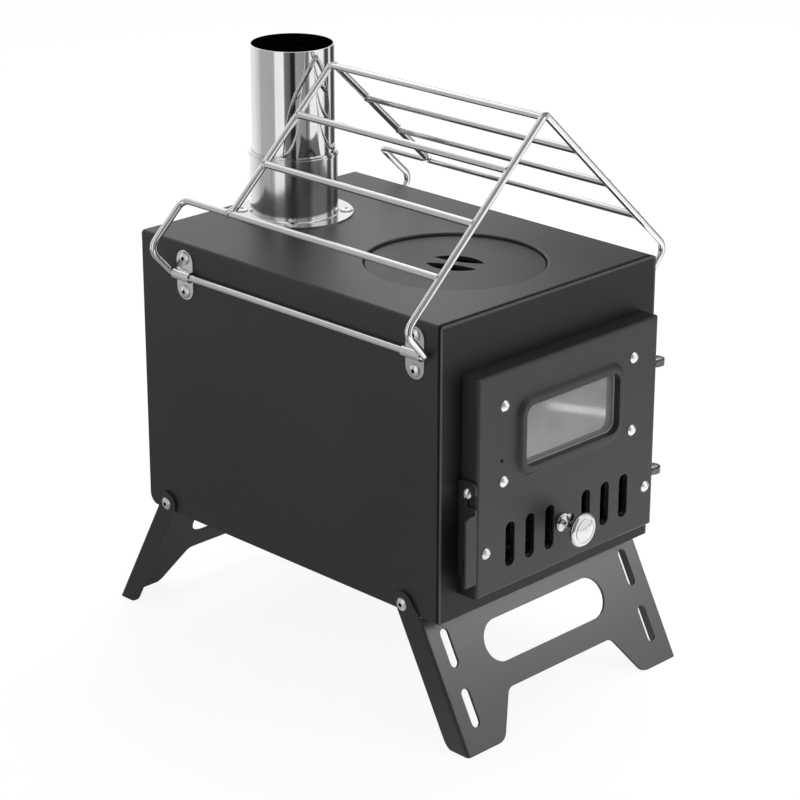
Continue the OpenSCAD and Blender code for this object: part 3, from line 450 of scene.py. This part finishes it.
class STOVE_OT_polish_flue(bpy.types.Operator):
    """Polishes the pipe, its spigot and the flange"""

    bl_idname = "stove.polish_flue"
    bl_label = "Polish the flue"

    def execute(self, context):
        steel = context.scene.stove_steel
        dress(bright_steel("pipe_steel", steel.polished, 0.05, (1, 1, 0.02), 500.0), "flue_pipe")
        drawn = bright_steel("spigot_steel", steel.polished, 0.13, (0.02, 0.02, 1), 2500.0, streak=0.6)
        dress(drawn, "flue_spigot")
        pressed = shade(steel.polished, 0.88)
        dress(bright_steel("flange_steel", pressed, 0.2, (1, 1, 1), 700.0, wear=0.05), "flue_flange")
        return {"FINISHED"}


class STOVE_OT_make_racks(bpy.types.Operator):
    """Finishes the rack wires and straps, and lays the weld beads"""

    bl_idname = "stove.make_racks"
    bl_label = "Finish the racks"

    def execute(self, context):
        steel = context.scene.stove_steel
        wire = bright_steel("rack_wire", steel.wire, 0.14, (1, 0.05, 1), 1400.0, wear=0.05)
        dress(wire, "left_rack_loop", "right_rack_loop")
        strap = bright_steel("strap_steel", steel.fastener, 0.17, (1, 1, 0.08), 1600.0, wear=0.06)
        dress(strap, "left_rack_straps", "right_rack_straps")
        weld = weld_steel(steel)
        for side, name in ((-1, "left_rack"), (1, "right_rack")):
            rungs = full_rungs(name + "_rungs", side)
            only_material(rungs, wire)
            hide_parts(name + "_rungs")
            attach(rungs, name)
            beads = weld_beads(name + "_welds", side, steel.weld)
            only_material(beads, weld)
            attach(beads, name)
        return {"FINISHED"}


class STOVE_OT_finish_fasteners(bpy.types.Operator):
    """Finishes the rivets, the screws and the pins"""

    bl_idname = "stove.finish_fasteners"
    bl_label = "Finish the fasteners"

    def execute(self, context):
        steel = context.scene.stove_steel
        dress(rivet_steel("leg_rivet_steel", steel, LEG_RIVETS), "front_leg_rivets", "rear_leg_rivets")
        strap = rivet_steel("strap_rivet_steel", steel, STRAP_RIVETS)
        dress(strap, "left_strap_rivets", "right_strap_rivets")
        dress(rivet_steel("flue_rivet_steel", steel, FLUE_RIVETS), "flue_rivets")
        screw = bright_steel("screw_steel", steel.fastener, 0.3, (1, 1, 0.3), 1300.0, wear=0.1)
        dress(screw, "window_screws", "guide_screws", "latch_screw")
        pin = bright_steel("pin_steel", steel.plain, 0.25, (1, 1, 0.2), 1300.0, wear=0.1)
        dress(pin, "hinge_pins", "latch_washer")
        return {"FINISHED"}


class STOVE_OT_finish_hinges(bpy.types.Operator):
    """Finishes the hinge brackets and the ears on the door"""

    bl_idname = "stove.finish_hinges"
    bl_label = "Finish the hinges"

    def execute(self, context):
        steel = context.scene.stove_steel
        plate = bright_steel("hinge_steel", steel.hinge, 0.3, (1, 0.1, 1), 1500.0, wear=0.1)
        dress(plate, "hinge_brackets", "door_hinge_ears")
        return {"FINISHED"}


class STOVE_OT_glaze_window(bpy.types.Operator):
    """Glazes the window and finishes its tape and frame"""

    bl_idname = "stove.glaze_window"
    bl_label = "Glaze the window"

    def execute(self, context):
        window = context.scene.stove_window
        steel = context.scene.stove_steel
        dress(window_glass(window), "window_glass")
        dress(fibre_tape(window), "window_gasket")
        retainer = bright_steel("frame_steel", steel.plain, 0.3, (0.1, 1, 1), 1500.0, wear=0.1)
        dress(retainer, "window_retainer")
        return {"FINISHED"}


class STOVE_OT_finish_air_control(bpy.types.Operator):
    """Finishes the slider, its guide and the turned knob"""

    bl_idname = "stove.finish_air_control"
    bl_label = "Finish the air control"

    def execute(self, context):
        steel = context.scene.stove_steel
        plate = bright_steel("slider_steel", steel.plain, 0.3, (0.08, 1, 1), 1500.0, wear=0.1)
        dress(plate, "air_slider", "air_guide")
        dress(turned_steel("knob_steel", shade(steel.polished, 0.86)), "knob_stem", "knob_head")
        return {"FINISHED"}


class STOVE_OT_scale_grate(bpy.types.Operator):
    """Gives the grate its fire scale and ash"""

    bl_idname = "stove.scale_grate"
    bl_label = "Scale the grate"

    def execute(self, context):
        dress(fire_scale(context.scene.stove_steel), "fire_grate")
        return {"FINISHED"}


class STOVE_OT_set_stage(bpy.types.Operator):
    """Sets the floor, the cards, the lamps, the world and the camera"""

    bl_idname = "stove.set_stage"
    bl_label = "Set the stage"

    def execute(self, context):
        stage = context.scene.stove_stage
        lay_floor()
        stand_tent(stage)
        lay_window_card()
        hang_lamps(context.scene)
        keep_sheen_on_leg()
        light_world(context.scene)
        set_camera(context.scene, stage)
        context.scene.view_settings.view_transform = "Standard"
        return {"FINISHED"}


class STOVE_PT_panel(bpy.types.Panel):
    """Lists the stove's settings and steps"""

    bl_idname = "STOVE_PT_panel"
    bl_label = "Tent Stove"
    bl_space_type = "VIEW_3D"
    bl_region_type = "UI"
    bl_category = "Stove"

    def draw(self, context):
        for title, group in GROUPS.items():
            box = self.layout.box()
            box.label(text=title.replace("_", " ").capitalize())
            settings = getattr(context.scene, title)
            for name in group.__annotations__:
                box.prop(settings, name)
        for step in STEPS:
            self.layout.operator(step.bl_idname)


# Rivets that mirror each other over two planes: for each plane its axis, its place and the rivets' distance
LEG_RIVETS = (("Y", 0.00634, 0.12025), ("Z", 0.0924, 0.0))
STRAP_RIVETS = (("Y", -0.01211, 0.11195), ("Z", 0.2731, 0.0122))
FLUE_RIVETS = (("X", 0.0, 0.02659), ("Y", FLUE.y, 0.02659))
# Radii on a rivet's head between which its edge darkens in painted shade, its eye of painted shade ends, and
# the stem in the eye ends
RIVET_EDGE = (0.0035, 0.0046)
RIVET_EYE = (0.0017, 0.0012)
RIVET_STEM = (0.0004, 0.0008)
# The window's middle, and the distances from it between which the glass darkens
WINDOW_X = 0.0033
GLASS_RIM = (0.036, 0.05)


def rivet_steel(name, steel, rivets):
    """Blind rivets: a bright head, with painted shade round its edge and in the eye round the broken stem"""
    finish = Finish(name, Metallic=1.0)
    axes = dict(zip("XYZ", finish.axes()))
    sides = [abs(axes[axis] - middle) - off for axis, middle, off in rivets]
    radius = finish.distance(*sides)
    colour = tuple(steel.fastener)
    worn = finish.noise(900.0, 3.0, 0.6)
    tone = finish.mix(worn, shade(colour, 0.86), shade(colour, 1.05))
    # Painted shade: the head's edge and the eye round the stem darken
    tone = finish.mix(finish.step(radius, *RIVET_EDGE) * 0.8, tone, grey(0.2))
    eye = finish.step(radius, *RIVET_EYE) * finish.step(radius, *RIVET_STEM)
    finish.set("Base Color", finish.mix(eye, tone, grey(0.015)))
    finish.set("Roughness", 0.24 + worn * 0.12 + eye * 0.3)
    finish.bump(worn, 0.00003, 0.5)
    return finish.material


def window_glass(settings):
    """Glass ceramic, a little smoked by use. Its pale grey colour is partly a painted reflection of the
    bright studio, and it is darker towards its left and right sides
    """
    finish = Finish("window_glass", IOR=2.2, Roughness=0.05)
    colour = tuple(settings.glass)
    smoke = finish.noise(18.0, 3.0, 0.6)
    x, y, z = finish.axes()
    rim = finish.step(abs(x - WINDOW_X), *GLASS_RIM)
    tone = finish.mix(finish.step(smoke, 0.3, 0.8), shade(colour, 1.12), shade(colour, 0.85))
    tone = finish.mix(rim * 0.4, tone, shade(colour, 0.75))
    finish.set("Base Color", tone)
    finish.set("Roughness", 0.04 + finish.step(smoke, 0.4, 0.9) * 0.05)
    finish.set("Alpha", 1.0 - settings.clearness * finish.step(smoke, 0.1, 0.9))
    finish.bump(finish.noise(9.0, 1.0, 0.4), 0.0001, 0.2)
    return finish.material


def fibre_tape(settings):
    """Flat glass fibre tape, plain woven"""
    finish = Finish("fibre_tape", Roughness=0.9)
    colour = tuple(settings.tape)
    x, y, z = finish.axes()
    warp = finish.wave((x + z) * 5200.0)
    weft = finish.wave((x - z) * 5200.0)
    weave = (warp * weft + 1.0) * 0.5
    finish.set("Base Color", finish.mix(weave, shade(colour, 0.75), shade(colour, 1.1)))
    finish.set("Roughness", 0.85 + weave * 0.1)
    finish.bump(weave, 0.0001, 0.7)
    return finish.material


def turned_steel(name, colour):
    """Polished steel with the rings that turning leaves round the knob's axis"""
    finish = Finish(name, Metallic=1.0)
    colour = tuple(colour)
    x, y, z = finish.axes()
    low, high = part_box("knob_head")
    across = x - (low.x + high.x) / 2
    up = z - (low.z + high.z) / 2
    radius = finish.distance(across, up)
    ring = finish.wave(radius * 14000.0)
    cloud = finish.noise(120.0, 2.0, 0.5)
    finish.set("Base Color", finish.mix(cloud, shade(colour, 0.9), shade(colour, 1.08)))
    finish.set("Roughness", 0.09 + ring * 0.015 + finish.step(cloud, 0.5, 0.8) * 0.06)
    finish.bump(ring, 0.000003, 0.5)
    return finish.material


def fire_scale(steel):
    """Steel scaled by fire, with pale ash left in patches"""
    finish = Finish("grate_scale", Metallic=0.4)
    colour = tuple(steel.grate)
    scale = finish.noise(160.0, 5.0, 0.65)
    ash = finish.step(finish.noise(35.0, 5.0, 0.7), 0.55, 0.7)
    tone = finish.mix(scale, shade(colour, 0.6), shade(colour, 2.0))
    tone = finish.mix(finish.step(scale, 0.6, 0.75) * 0.5, tone, (0.09, 0.04, 0.022, 1.0))
    finish.set("Base Color", finish.mix(ash * 0.6, tone, (0.3, 0.29, 0.27, 1.0)))
    finish.set("Roughness", 0.6 + ash * 0.3)
    finish.bump(scale, 0.0003, 0.6)
    return finish.material


def weld_steel(steel):
    """Weld metal, rippled and a little blued"""
    finish = Finish("weld_steel", Metallic=1.0)
    ripple = finish.noise(1500.0, 2.0, 0.6)
    heat = finish.noise(400.0, 2.0, 0.5)
    colour = tuple(steel.wire)
    tone = finish.mix(ripple, shade(colour, 0.8), shade(colour, 1.1))
    finish.set("Base Color", finish.mix(finish.step(heat, 0.5, 0.8) * 0.5, tone, (0.42, 0.4, 0.44, 1.0)))
    finish.set("Roughness", 0.3 + ripple * 0.15)
    finish.bump(ripple, 0.00008, 0.6)
    return finish.material


# The racks, as the solids place them
ROD = Vector((0.1088, 0.0, 0.2731))
LEAN = math.radians(42.7228)
KNEE = 0.0284
PITCH = 0.04285
RUNGS = 4
ARM_FRONT_Y = FRONT_Y + 0.0104
ARM_REAR_Y = FRONT_Y + 0.208
WIRE_R = 0.0025
RUNG_R = 0.002
# Radius of the rungs in the photograph, apart from the ridge wires
FULL_RUNG_R = WIRE_R
# Weld beads: steps round a bead, how deep its foot is sunk in the wire, how far it is lifted on a mitred
# joint, and how far the ridge's beads stay from the middle
BEAD_STEPS = 28
BEAD_SINK = 0.0002
MITRE_LIFT = 0.0003
RIDGE_GAP = 0.0001


def rack_point(side, along, y):
    """A point on the racks' sloping plane; side is -1 on the left"""
    outward = ROD.x + KNEE * math.sin(LEAN) - along * math.cos(LEAN)
    return Vector((side * outward, y, ROD.z + KNEE * math.cos(LEAN) + along * math.sin(LEAN)))


# The front leg, as the solids place it: its lean, its pivot, how far below the pivot its small slots are,
# their distance from the middle, half their straight run and their radius, how near to it a point is on their
# edge, and the depth that holds the leg's plate
LEG_LEAN = math.radians(28.2)
LEG_PIVOT = Vector((0.0, -0.11391, 0.0924))
SLOT_DROPS = (0.03825, 0.08075)
SLOT_X = 0.0931
SLOT_RUN = 0.0099
SLOT_R = 0.00375
SLOT_EDGE = 0.0002
PLATE_DEPTH = 0.0025
# The photograph has the slots SLOT_SHIFT further in. Of what the folded sides reach behind the pivot beyond
# SIDE_FROM, the share SIDE_TRIM comes off.
SLOT_SHIFT = 0.0018
SIDE_FROM = 0.003
SIDE_TRIM = 0.5


def copied(name, suffix):
    """A copy of a CAD node, to be shaped further"""
    made = bpy.data.objects.new(name + suffix, NODES[name].data.copy())
    bpy.context.scene.collection.objects.link(made)
    return made


def trimmed_leg():
    """The front leg with folded sides 3 mm narrower and small slots 1.8 mm further in"""
    leg = copied("front_leg", "_trimmed")
    outward = Vector((0.0, -math.cos(LEG_LEAN), math.sin(LEG_LEAN)))
    down = Vector((0.0, -math.sin(LEG_LEAN), -math.cos(LEG_LEAN)))
    face = max(vertex.co @ outward for vertex in leg.data.vertices)
    for vertex in leg.data.vertices:
        behind = (LEG_PIVOT - vertex.co) @ outward
        below = (vertex.co - LEG_PIVOT) @ down
        if behind > SIDE_FROM:
            vertex.co += outward * (behind - SIDE_FROM) * SIDE_TRIM
        if face - vertex.co @ outward < PLATE_DEPTH and on_slot_edge(abs(vertex.co.x), below):
            vertex.co.x -= math.copysign(SLOT_SHIFT, vertex.co.x)
    return leg


def on_slot_edge(across, below):
    """Whether a point of the leg's plate is on the edge of a small slot"""
    for drop in SLOT_DROPS:
        off = math.hypot(across - SLOT_X, max(0.0, abs(below - drop) - SLOT_RUN))
        if abs(off - SLOT_R) < SLOT_EDGE:
            return True
    return False


def full_rungs(name, side):
    """The rungs at the loop wire's own thickness; the ridge wire stays as it is"""
    rungs = copied(name, "_full")
    for vertex in rungs.data.vertices:
        axes = [rack_point(side, rung * PITCH, vertex.co.y) for rung in range(1, RUNGS + 1)]
        axis = min(axes, key=lambda point: (vertex.co - point).length)
        if axis != axes[-1]:
            vertex.co = axis + (vertex.co - axis) * (FULL_RUNG_R / RUNG_R)
    return rungs


def bead_profile(wire_r, swell):
    """Section of a weld bead: distances from the rung's axis, and heights over the arm's wire"""
    return (
        (wire_r * 0.93, -BEAD_SINK),
        (wire_r + swell, -BEAD_SINK),
        (wire_r + swell * 0.93, 0.00005),
        (wire_r + swell * 0.42, swell * 0.38),
        (wire_r * 0.98, swell * 1.1),
    )


def bead_seat(radius, turn, mitred):
    """How far from the arm's axis a bead sits; on the jog's bend it follows the mitred rung"""
    if mitred:
        return radius * math.cos(turn) + MITRE_LIFT
    return math.sqrt(max(0.0, WIRE_R**2 - (radius * math.sin(turn)) ** 2))


def add_bead(mesh, side, rung, y, inward, width):
    """Adds the rippled collar where a rung meets an arm; inward is the rung's way along y"""
    arm = (rack_point(side, 1.0, 0.0) - rack_point(side, 0.0, 0.0)).normalized()
    flat = Vector((0.0, 1.0, 0.0)).cross(arm)
    wire_r = RUNG_R if rung == RUNGS else FULL_RUNG_R
    mitred = rung == 1 and inward < 0
    rings = []
    for k in range(BEAD_STEPS):
        turn = 2 * math.pi * k / BEAD_STEPS
        swell = width * (1 + 0.15 * math.sin(9 * turn + rung) + 0.08 * math.sin(17 * turn))
        ring = []
        for radius, lift in bead_profile(wire_r, swell):
            off = bead_seat(radius, turn, mitred) + lift
            point = rack_point(side, rung * PITCH, y) + Vector((0.0, inward * off, 0.0))
            point += radius * (math.cos(turn) * arm + math.sin(turn) * flat)
            if rung == RUNGS:
                point.x = side * max(RIDGE_GAP, side * point.x)
            ring.append(mesh.verts.new(point))
        rings.append(ring)
    for k in range(BEAD_STEPS):
        here, there = rings[k], rings[(k + 1) % BEAD_STEPS]
        for i in range(len(here)):
            j = (i + 1) % len(here)
            mesh.faces.new((here[i], here[j], there[j], there[i]))


def weld_beads(name, side, width):
    """One mesh of collars, where each cross wire meets the two arms"""
    mesh = bmesh.new()
    for rung in range(1, RUNGS + 1):
        for y, inward in ((ARM_FRONT_Y, 1.0), (ARM_REAR_Y, -1.0)):
            add_bead(mesh, side, rung, y, inward, width)
    bmesh.ops.recalc_face_normals(mesh, faces=mesh.faces)
    made = placed(name, mesh)
    made.data.shade_smooth()
    return made


def placed(name, mesh):
    """An object in the scene, made of a mesh that is ready"""
    data = bpy.data.meshes.new(name)
    mesh.to_mesh(data)
    mesh.free()
    made = bpy.data.objects.new(name, data)
    bpy.context.scene.collection.objects.link(made)
    return made


# The floor: its radius, how far it lies below the feet, and its glow to the camera. Mirrors see a glow that
# rises from dim behind the stove to bright in front and falls again by a share farther off, both measured
# along x - y. The last two are the shares of glow in what the camera and the mirrors see.
FLOOR_RADIUS = 12.0
FLOOR_DROP = 0.0005
FLOOR_GLOW = 1.06
FLOOR_DIM = 0.28
FLOOR_BRIGHT = 1.3
AHEAD = (-0.3, 0.45)
FAR = (0.55, 1.15)
FAR_FALL = 0.72
CAMERA_SHARE = 0.85
MIRROR_SHARE = 0.92


def lay_floor():
    """Lays a wide pale floor that keeps the shadow"""
    mesh = bmesh.new()
    bmesh.ops.create_circle(mesh, cap_ends=True, segments=96, radius=FLOOR_RADIUS)
    floor = placed("floor", mesh)
    floor.location.z = -FLOOR_DROP
    finish = Finish("floor_paper", Base_Color=grey(0.9), Roughness=1.0, Specular_IOR_Level=0.0)
    paths = finish.node("ShaderNodeLightPath").socket.node.outputs
    camera = Signal(finish, paths["Is Camera Ray"])
    mirror = Signal(finish, paths["Is Glossy Ray"])
    x, y, z = finish.axes()
    ahead = finish.step(x - y, *AHEAD)
    far = finish.step(x - y, *FAR)
    bright = ahead * (1.0 - far * FAR_FALL)
    mirrored = finish.blend(bright, finish.glow(FLOOR_DIM), finish.glow(FLOOR_BRIGHT))
    shown = finish.blend(camera * CAMERA_SHARE, finish.shader.outputs[0], finish.glow(FLOOR_GLOW))
    finish.show(finish.blend(mirror * MIRROR_SHARE, shown, mirrored))
    only_material(floor, finish.material)


# Brightness of the tent of cards, by the turn from the camera's side to the right
CARDS = (
    (-180, 1.1), (-150, 1.0), (-118, 0.86), (-97, 0.6), (-92, 0.46), (-48, 0.44), (-45, 0.9), (-42, 1.0),
    (-21, 1.0), (-19, 0.2), (-4, 0.12), (-2, 0.02), (9, 0.02), (11, 0.34), (36, 0.3), (39, 0.12),
    (47, 0.3), (50, 1.0), (92, 1.0), (97, 0.5), (99, 0.08), (114, 0.07), (116, 0.8), (125, 0.9),
    (128, 0.08), (150, 0.06), (153, 0.5), (164, 0.45), (171, 1.0), (180, 1.1),
)
# Steps round the tent, and the heights between which it stands
TENT_STEPS = 128
TENT_HEIGHTS = (0.03, 2.2)


def stand_tent(stage):
    """Stands a ring of striped cards round the stove, which only polished things mirror"""
    mesh = bmesh.new()
    turns = [2 * math.pi * k / TENT_STEPS for k in range(TENT_STEPS)]
    feet = [FLUE + stage.tent * Vector((math.cos(turn), math.sin(turn), 0.0)) for turn in turns]
    low, high = ([mesh.verts.new(foot + Vector((0.0, 0.0, z))) for foot in feet] for z in TENT_HEIGHTS)
    for k in range(TENT_STEPS):
        mesh.faces.new((low[k], high[k], high[(k + 1) % TENT_STEPS], low[(k + 1) % TENT_STEPS]))
    tent = placed("card_tent", mesh)
    only_mirrored(tent)
    finish = Finish("card_tent", Base_Color=grey(0.0), Specular_IOR_Level=0.0, Emission_Strength=1.05)
    x, y, z = finish.axes()
    ahead = Vector((math.sin(stage.azimuth), -math.cos(stage.azimuth)))
    right = Vector((math.cos(stage.azimuth), math.sin(stage.azimuth)))
    forward = (x - FLUE.x) * ahead.x + (y - FLUE.y) * ahead.y
    across = (x - FLUE.x) * right.x + (y - FLUE.y) * right.y
    turn = finish.node("ShaderNodeMath", {"operation": "ARCTAN2"}, {0: across, 1: forward})
    share = turn / (2 * math.pi) + 0.5
    stops = [(degrees / 360 + 0.5, grey(level)) for degrees, level in CARDS]
    cards = finish.node("ShaderNodeValToRGB", {"stops": stops}, {"Fac": share})
    finish.set("Emission Color", cards)
    only_material(tent, finish.material)


# The window's card on the floor: its corner, its long side and its short side
CARD_CORNER = Vector((0.4225, -0.5445, 0.0))
CARD_LONG = Vector((0.0334, 0.0727, 0.0))
CARD_SHORT = Vector((-0.0131, 0.0117, 0.0))


def lay_window_card():
    """Lays a narrow bright card on the floor, which the window mirrors as a band of light"""
    mesh = bmesh.new()
    far = CARD_CORNER + CARD_LONG
    corners = (CARD_CORNER, far, far + CARD_SHORT, CARD_CORNER + CARD_SHORT)
    mesh.faces.new([mesh.verts.new(corner) for corner in corners])
    card = placed("window_card", mesh)
    only_mirrored(card)
    finish = Finish("window_card", Base_Color=grey(0.0), Emission_Color=grey(1.0), Emission_Strength=2.6)
    only_material(card, finish.material)


def only_mirrored(thing):
    """Hides a card from everything but mirror images"""
    thing.visible_camera = False
    thing.visible_diffuse = False
    thing.visible_transmission = False
    thing.visible_shadow = False


# Lamps: name, place, what it points at, width, watts, and whether only shiny things see it
LAMPS = (
    ("key_lamp", (1.1, 0.6, 1.7), (0.0, 0.0, 0.2), 1.3, 22.0, False),
    ("front_lamp", (0.7, -1.8, 1.2), (0.0, 0.0, 0.2), 1.2, 14.0, False),
    ("left_lamp", (-1.9, -0.2, 1.1), (0.0, 0.0, 0.2), 1.2, 7.0, False),
    ("leg_sheen", (0.356, -0.546, 0.308), (0.0, -0.19, 0.04), 0.28, 4.5, True),
    ("plate_sheen", (0.22, 0.176, 0.492), (-0.14, -0.18, 0.295), 0.15, 0.085, True),
)


def hang_lamps(scene):
    """Hangs three soft lamps, over the right rear, in front and on the left, and the two sheens"""
    for name, place, aim, width, watts, sheen in LAMPS:
        data = bpy.data.lights.new(name, "AREA")
        data.size = width
        data.energy = watts
        lamp = bpy.data.objects.new(name, data)
        lamp.location = place
        lamp.rotation_euler = (Vector(aim) - Vector(place)).to_track_quat("-Z", "Y").to_euler()
        lamp.visible_glossy = sheen
        lamp.visible_diffuse = not sheen
        lamp.visible_camera = False
        scene.collection.objects.link(lamp)


def keep_sheen_on_leg():
    """Lets the leg's sheen light nothing but the front leg"""
    lit = bpy.data.collections.new("lit_leg")
    lit.objects.link(bpy.data.objects["front_leg_trimmed"])
    bpy.data.objects["leg_sheen"].light_linking.receiver_collection = lit


def light_world(scene):
    """Gives a soft even light, and shows white behind the stove"""
    world = bpy.data.worlds.new("studio")
    scene.world = world
    world.use_nodes = True
    nodes, links = world.node_tree.nodes, world.node_tree.links
    plain = nodes["Background"]
    plain.inputs["Color"].default_value = grey(1.0)
    plain.inputs["Strength"].default_value = 0.42
    white = nodes.new("ShaderNodeBackground")
    white.inputs["Color"].default_value = grey(1.0)
    white.inputs["Strength"].default_value = 1.0
    paths = nodes.new("ShaderNodeLightPath")
    either = nodes.new("ShaderNodeMath")
    either.operation = "MAXIMUM"
    links.new(paths.outputs["Is Camera Ray"], either.inputs[0])
    links.new(paths.outputs["Is Glossy Ray"], either.inputs[1])
    mixed = nodes.new("ShaderNodeMixShader")
    links.new(either.outputs[0], mixed.inputs[0])
    links.new(plain.outputs[0], mixed.inputs[1])
    links.new(white.outputs[0], mixed.inputs[2])
    links.new(mixed.outputs[0], nodes["World Output"].inputs["Surface"])


def set_camera(scene, stage):
    """Puts the camera at the photograph's viewing angle"""
    data = bpy.data.cameras.new("camera")
    data.sensor_width = 36.0
    data.lens = stage.lens
    back = Vector((
        math.sin(stage.azimuth) * math.cos(stage.elevation),
        -math.cos(stage.azimuth) * math.cos(stage.elevation),
        math.sin(stage.elevation),
    ))
    right = Vector((math.cos(stage.azimuth), math.sin(stage.azimuth), 0.0))
    up = back.cross(right)
    turn = Matrix((right, up, back)).transposed() @ Matrix.Rotation(-stage.roll, 3, "Z")
    camera = bpy.data.objects.new("camera", data)
    camera.matrix_world = Matrix.Translation(Vector(stage.place)) @ turn.to_4x4()
    scene.collection.objects.link(camera)
    scene.camera = camera


GROUPS = {
    "stove_paint": StovePaintSettings,
    "stove_steel": StoveSteelSettings,
    "stove_window": StoveWindowSettings,
    "stove_stage": StoveStageSettings,
}
STEPS = (
    STOVE_OT_paint_sheets,
    STOVE_OT_finish_legs,
    STOVE_OT_polish_flue,
    STOVE_OT_make_racks,
    STOVE_OT_finish_fasteners,
    STOVE_OT_finish_hinges,
    STOVE_OT_glaze_window,
    STOVE_OT_finish_air_control,
    STOVE_OT_scale_grate,
    STOVE_OT_set_stage,
)


def register():
    """Registers the settings, the steps and the panel"""
    for kind in (*GROUPS.values(), *STEPS, STOVE_PT_panel):
        bpy.utils.register_class(kind)
    for name, group in GROUPS.items():
        setattr(bpy.types.Scene, name, bpy.props.PointerProperty(type=group))


def unregister():
    """Takes the panel, the steps and the settings away"""
    for name in GROUPS:
        delattr(bpy.types.Scene, name)
    for kind in reversed((*GROUPS.values(), *STEPS, STOVE_PT_panel)):
        bpy.utils.unregister_class(kind)


def main():
    """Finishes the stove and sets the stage"""
    register()
    bpy.ops.stove.paint_sheets()
    bpy.ops.stove.finish_legs()
    bpy.ops.stove.polish_flue()
    bpy.ops.stove.make_racks()
    bpy.ops.stove.finish_fasteners()
    bpy.ops.stove.finish_hinges()
    bpy.ops.stove.glaze_window()
    bpy.ops.stove.finish_air_control()
    bpy.ops.stove.scale_grate()
    bpy.ops.stove.set_stage()


if __name__ == "__main__":
    main()
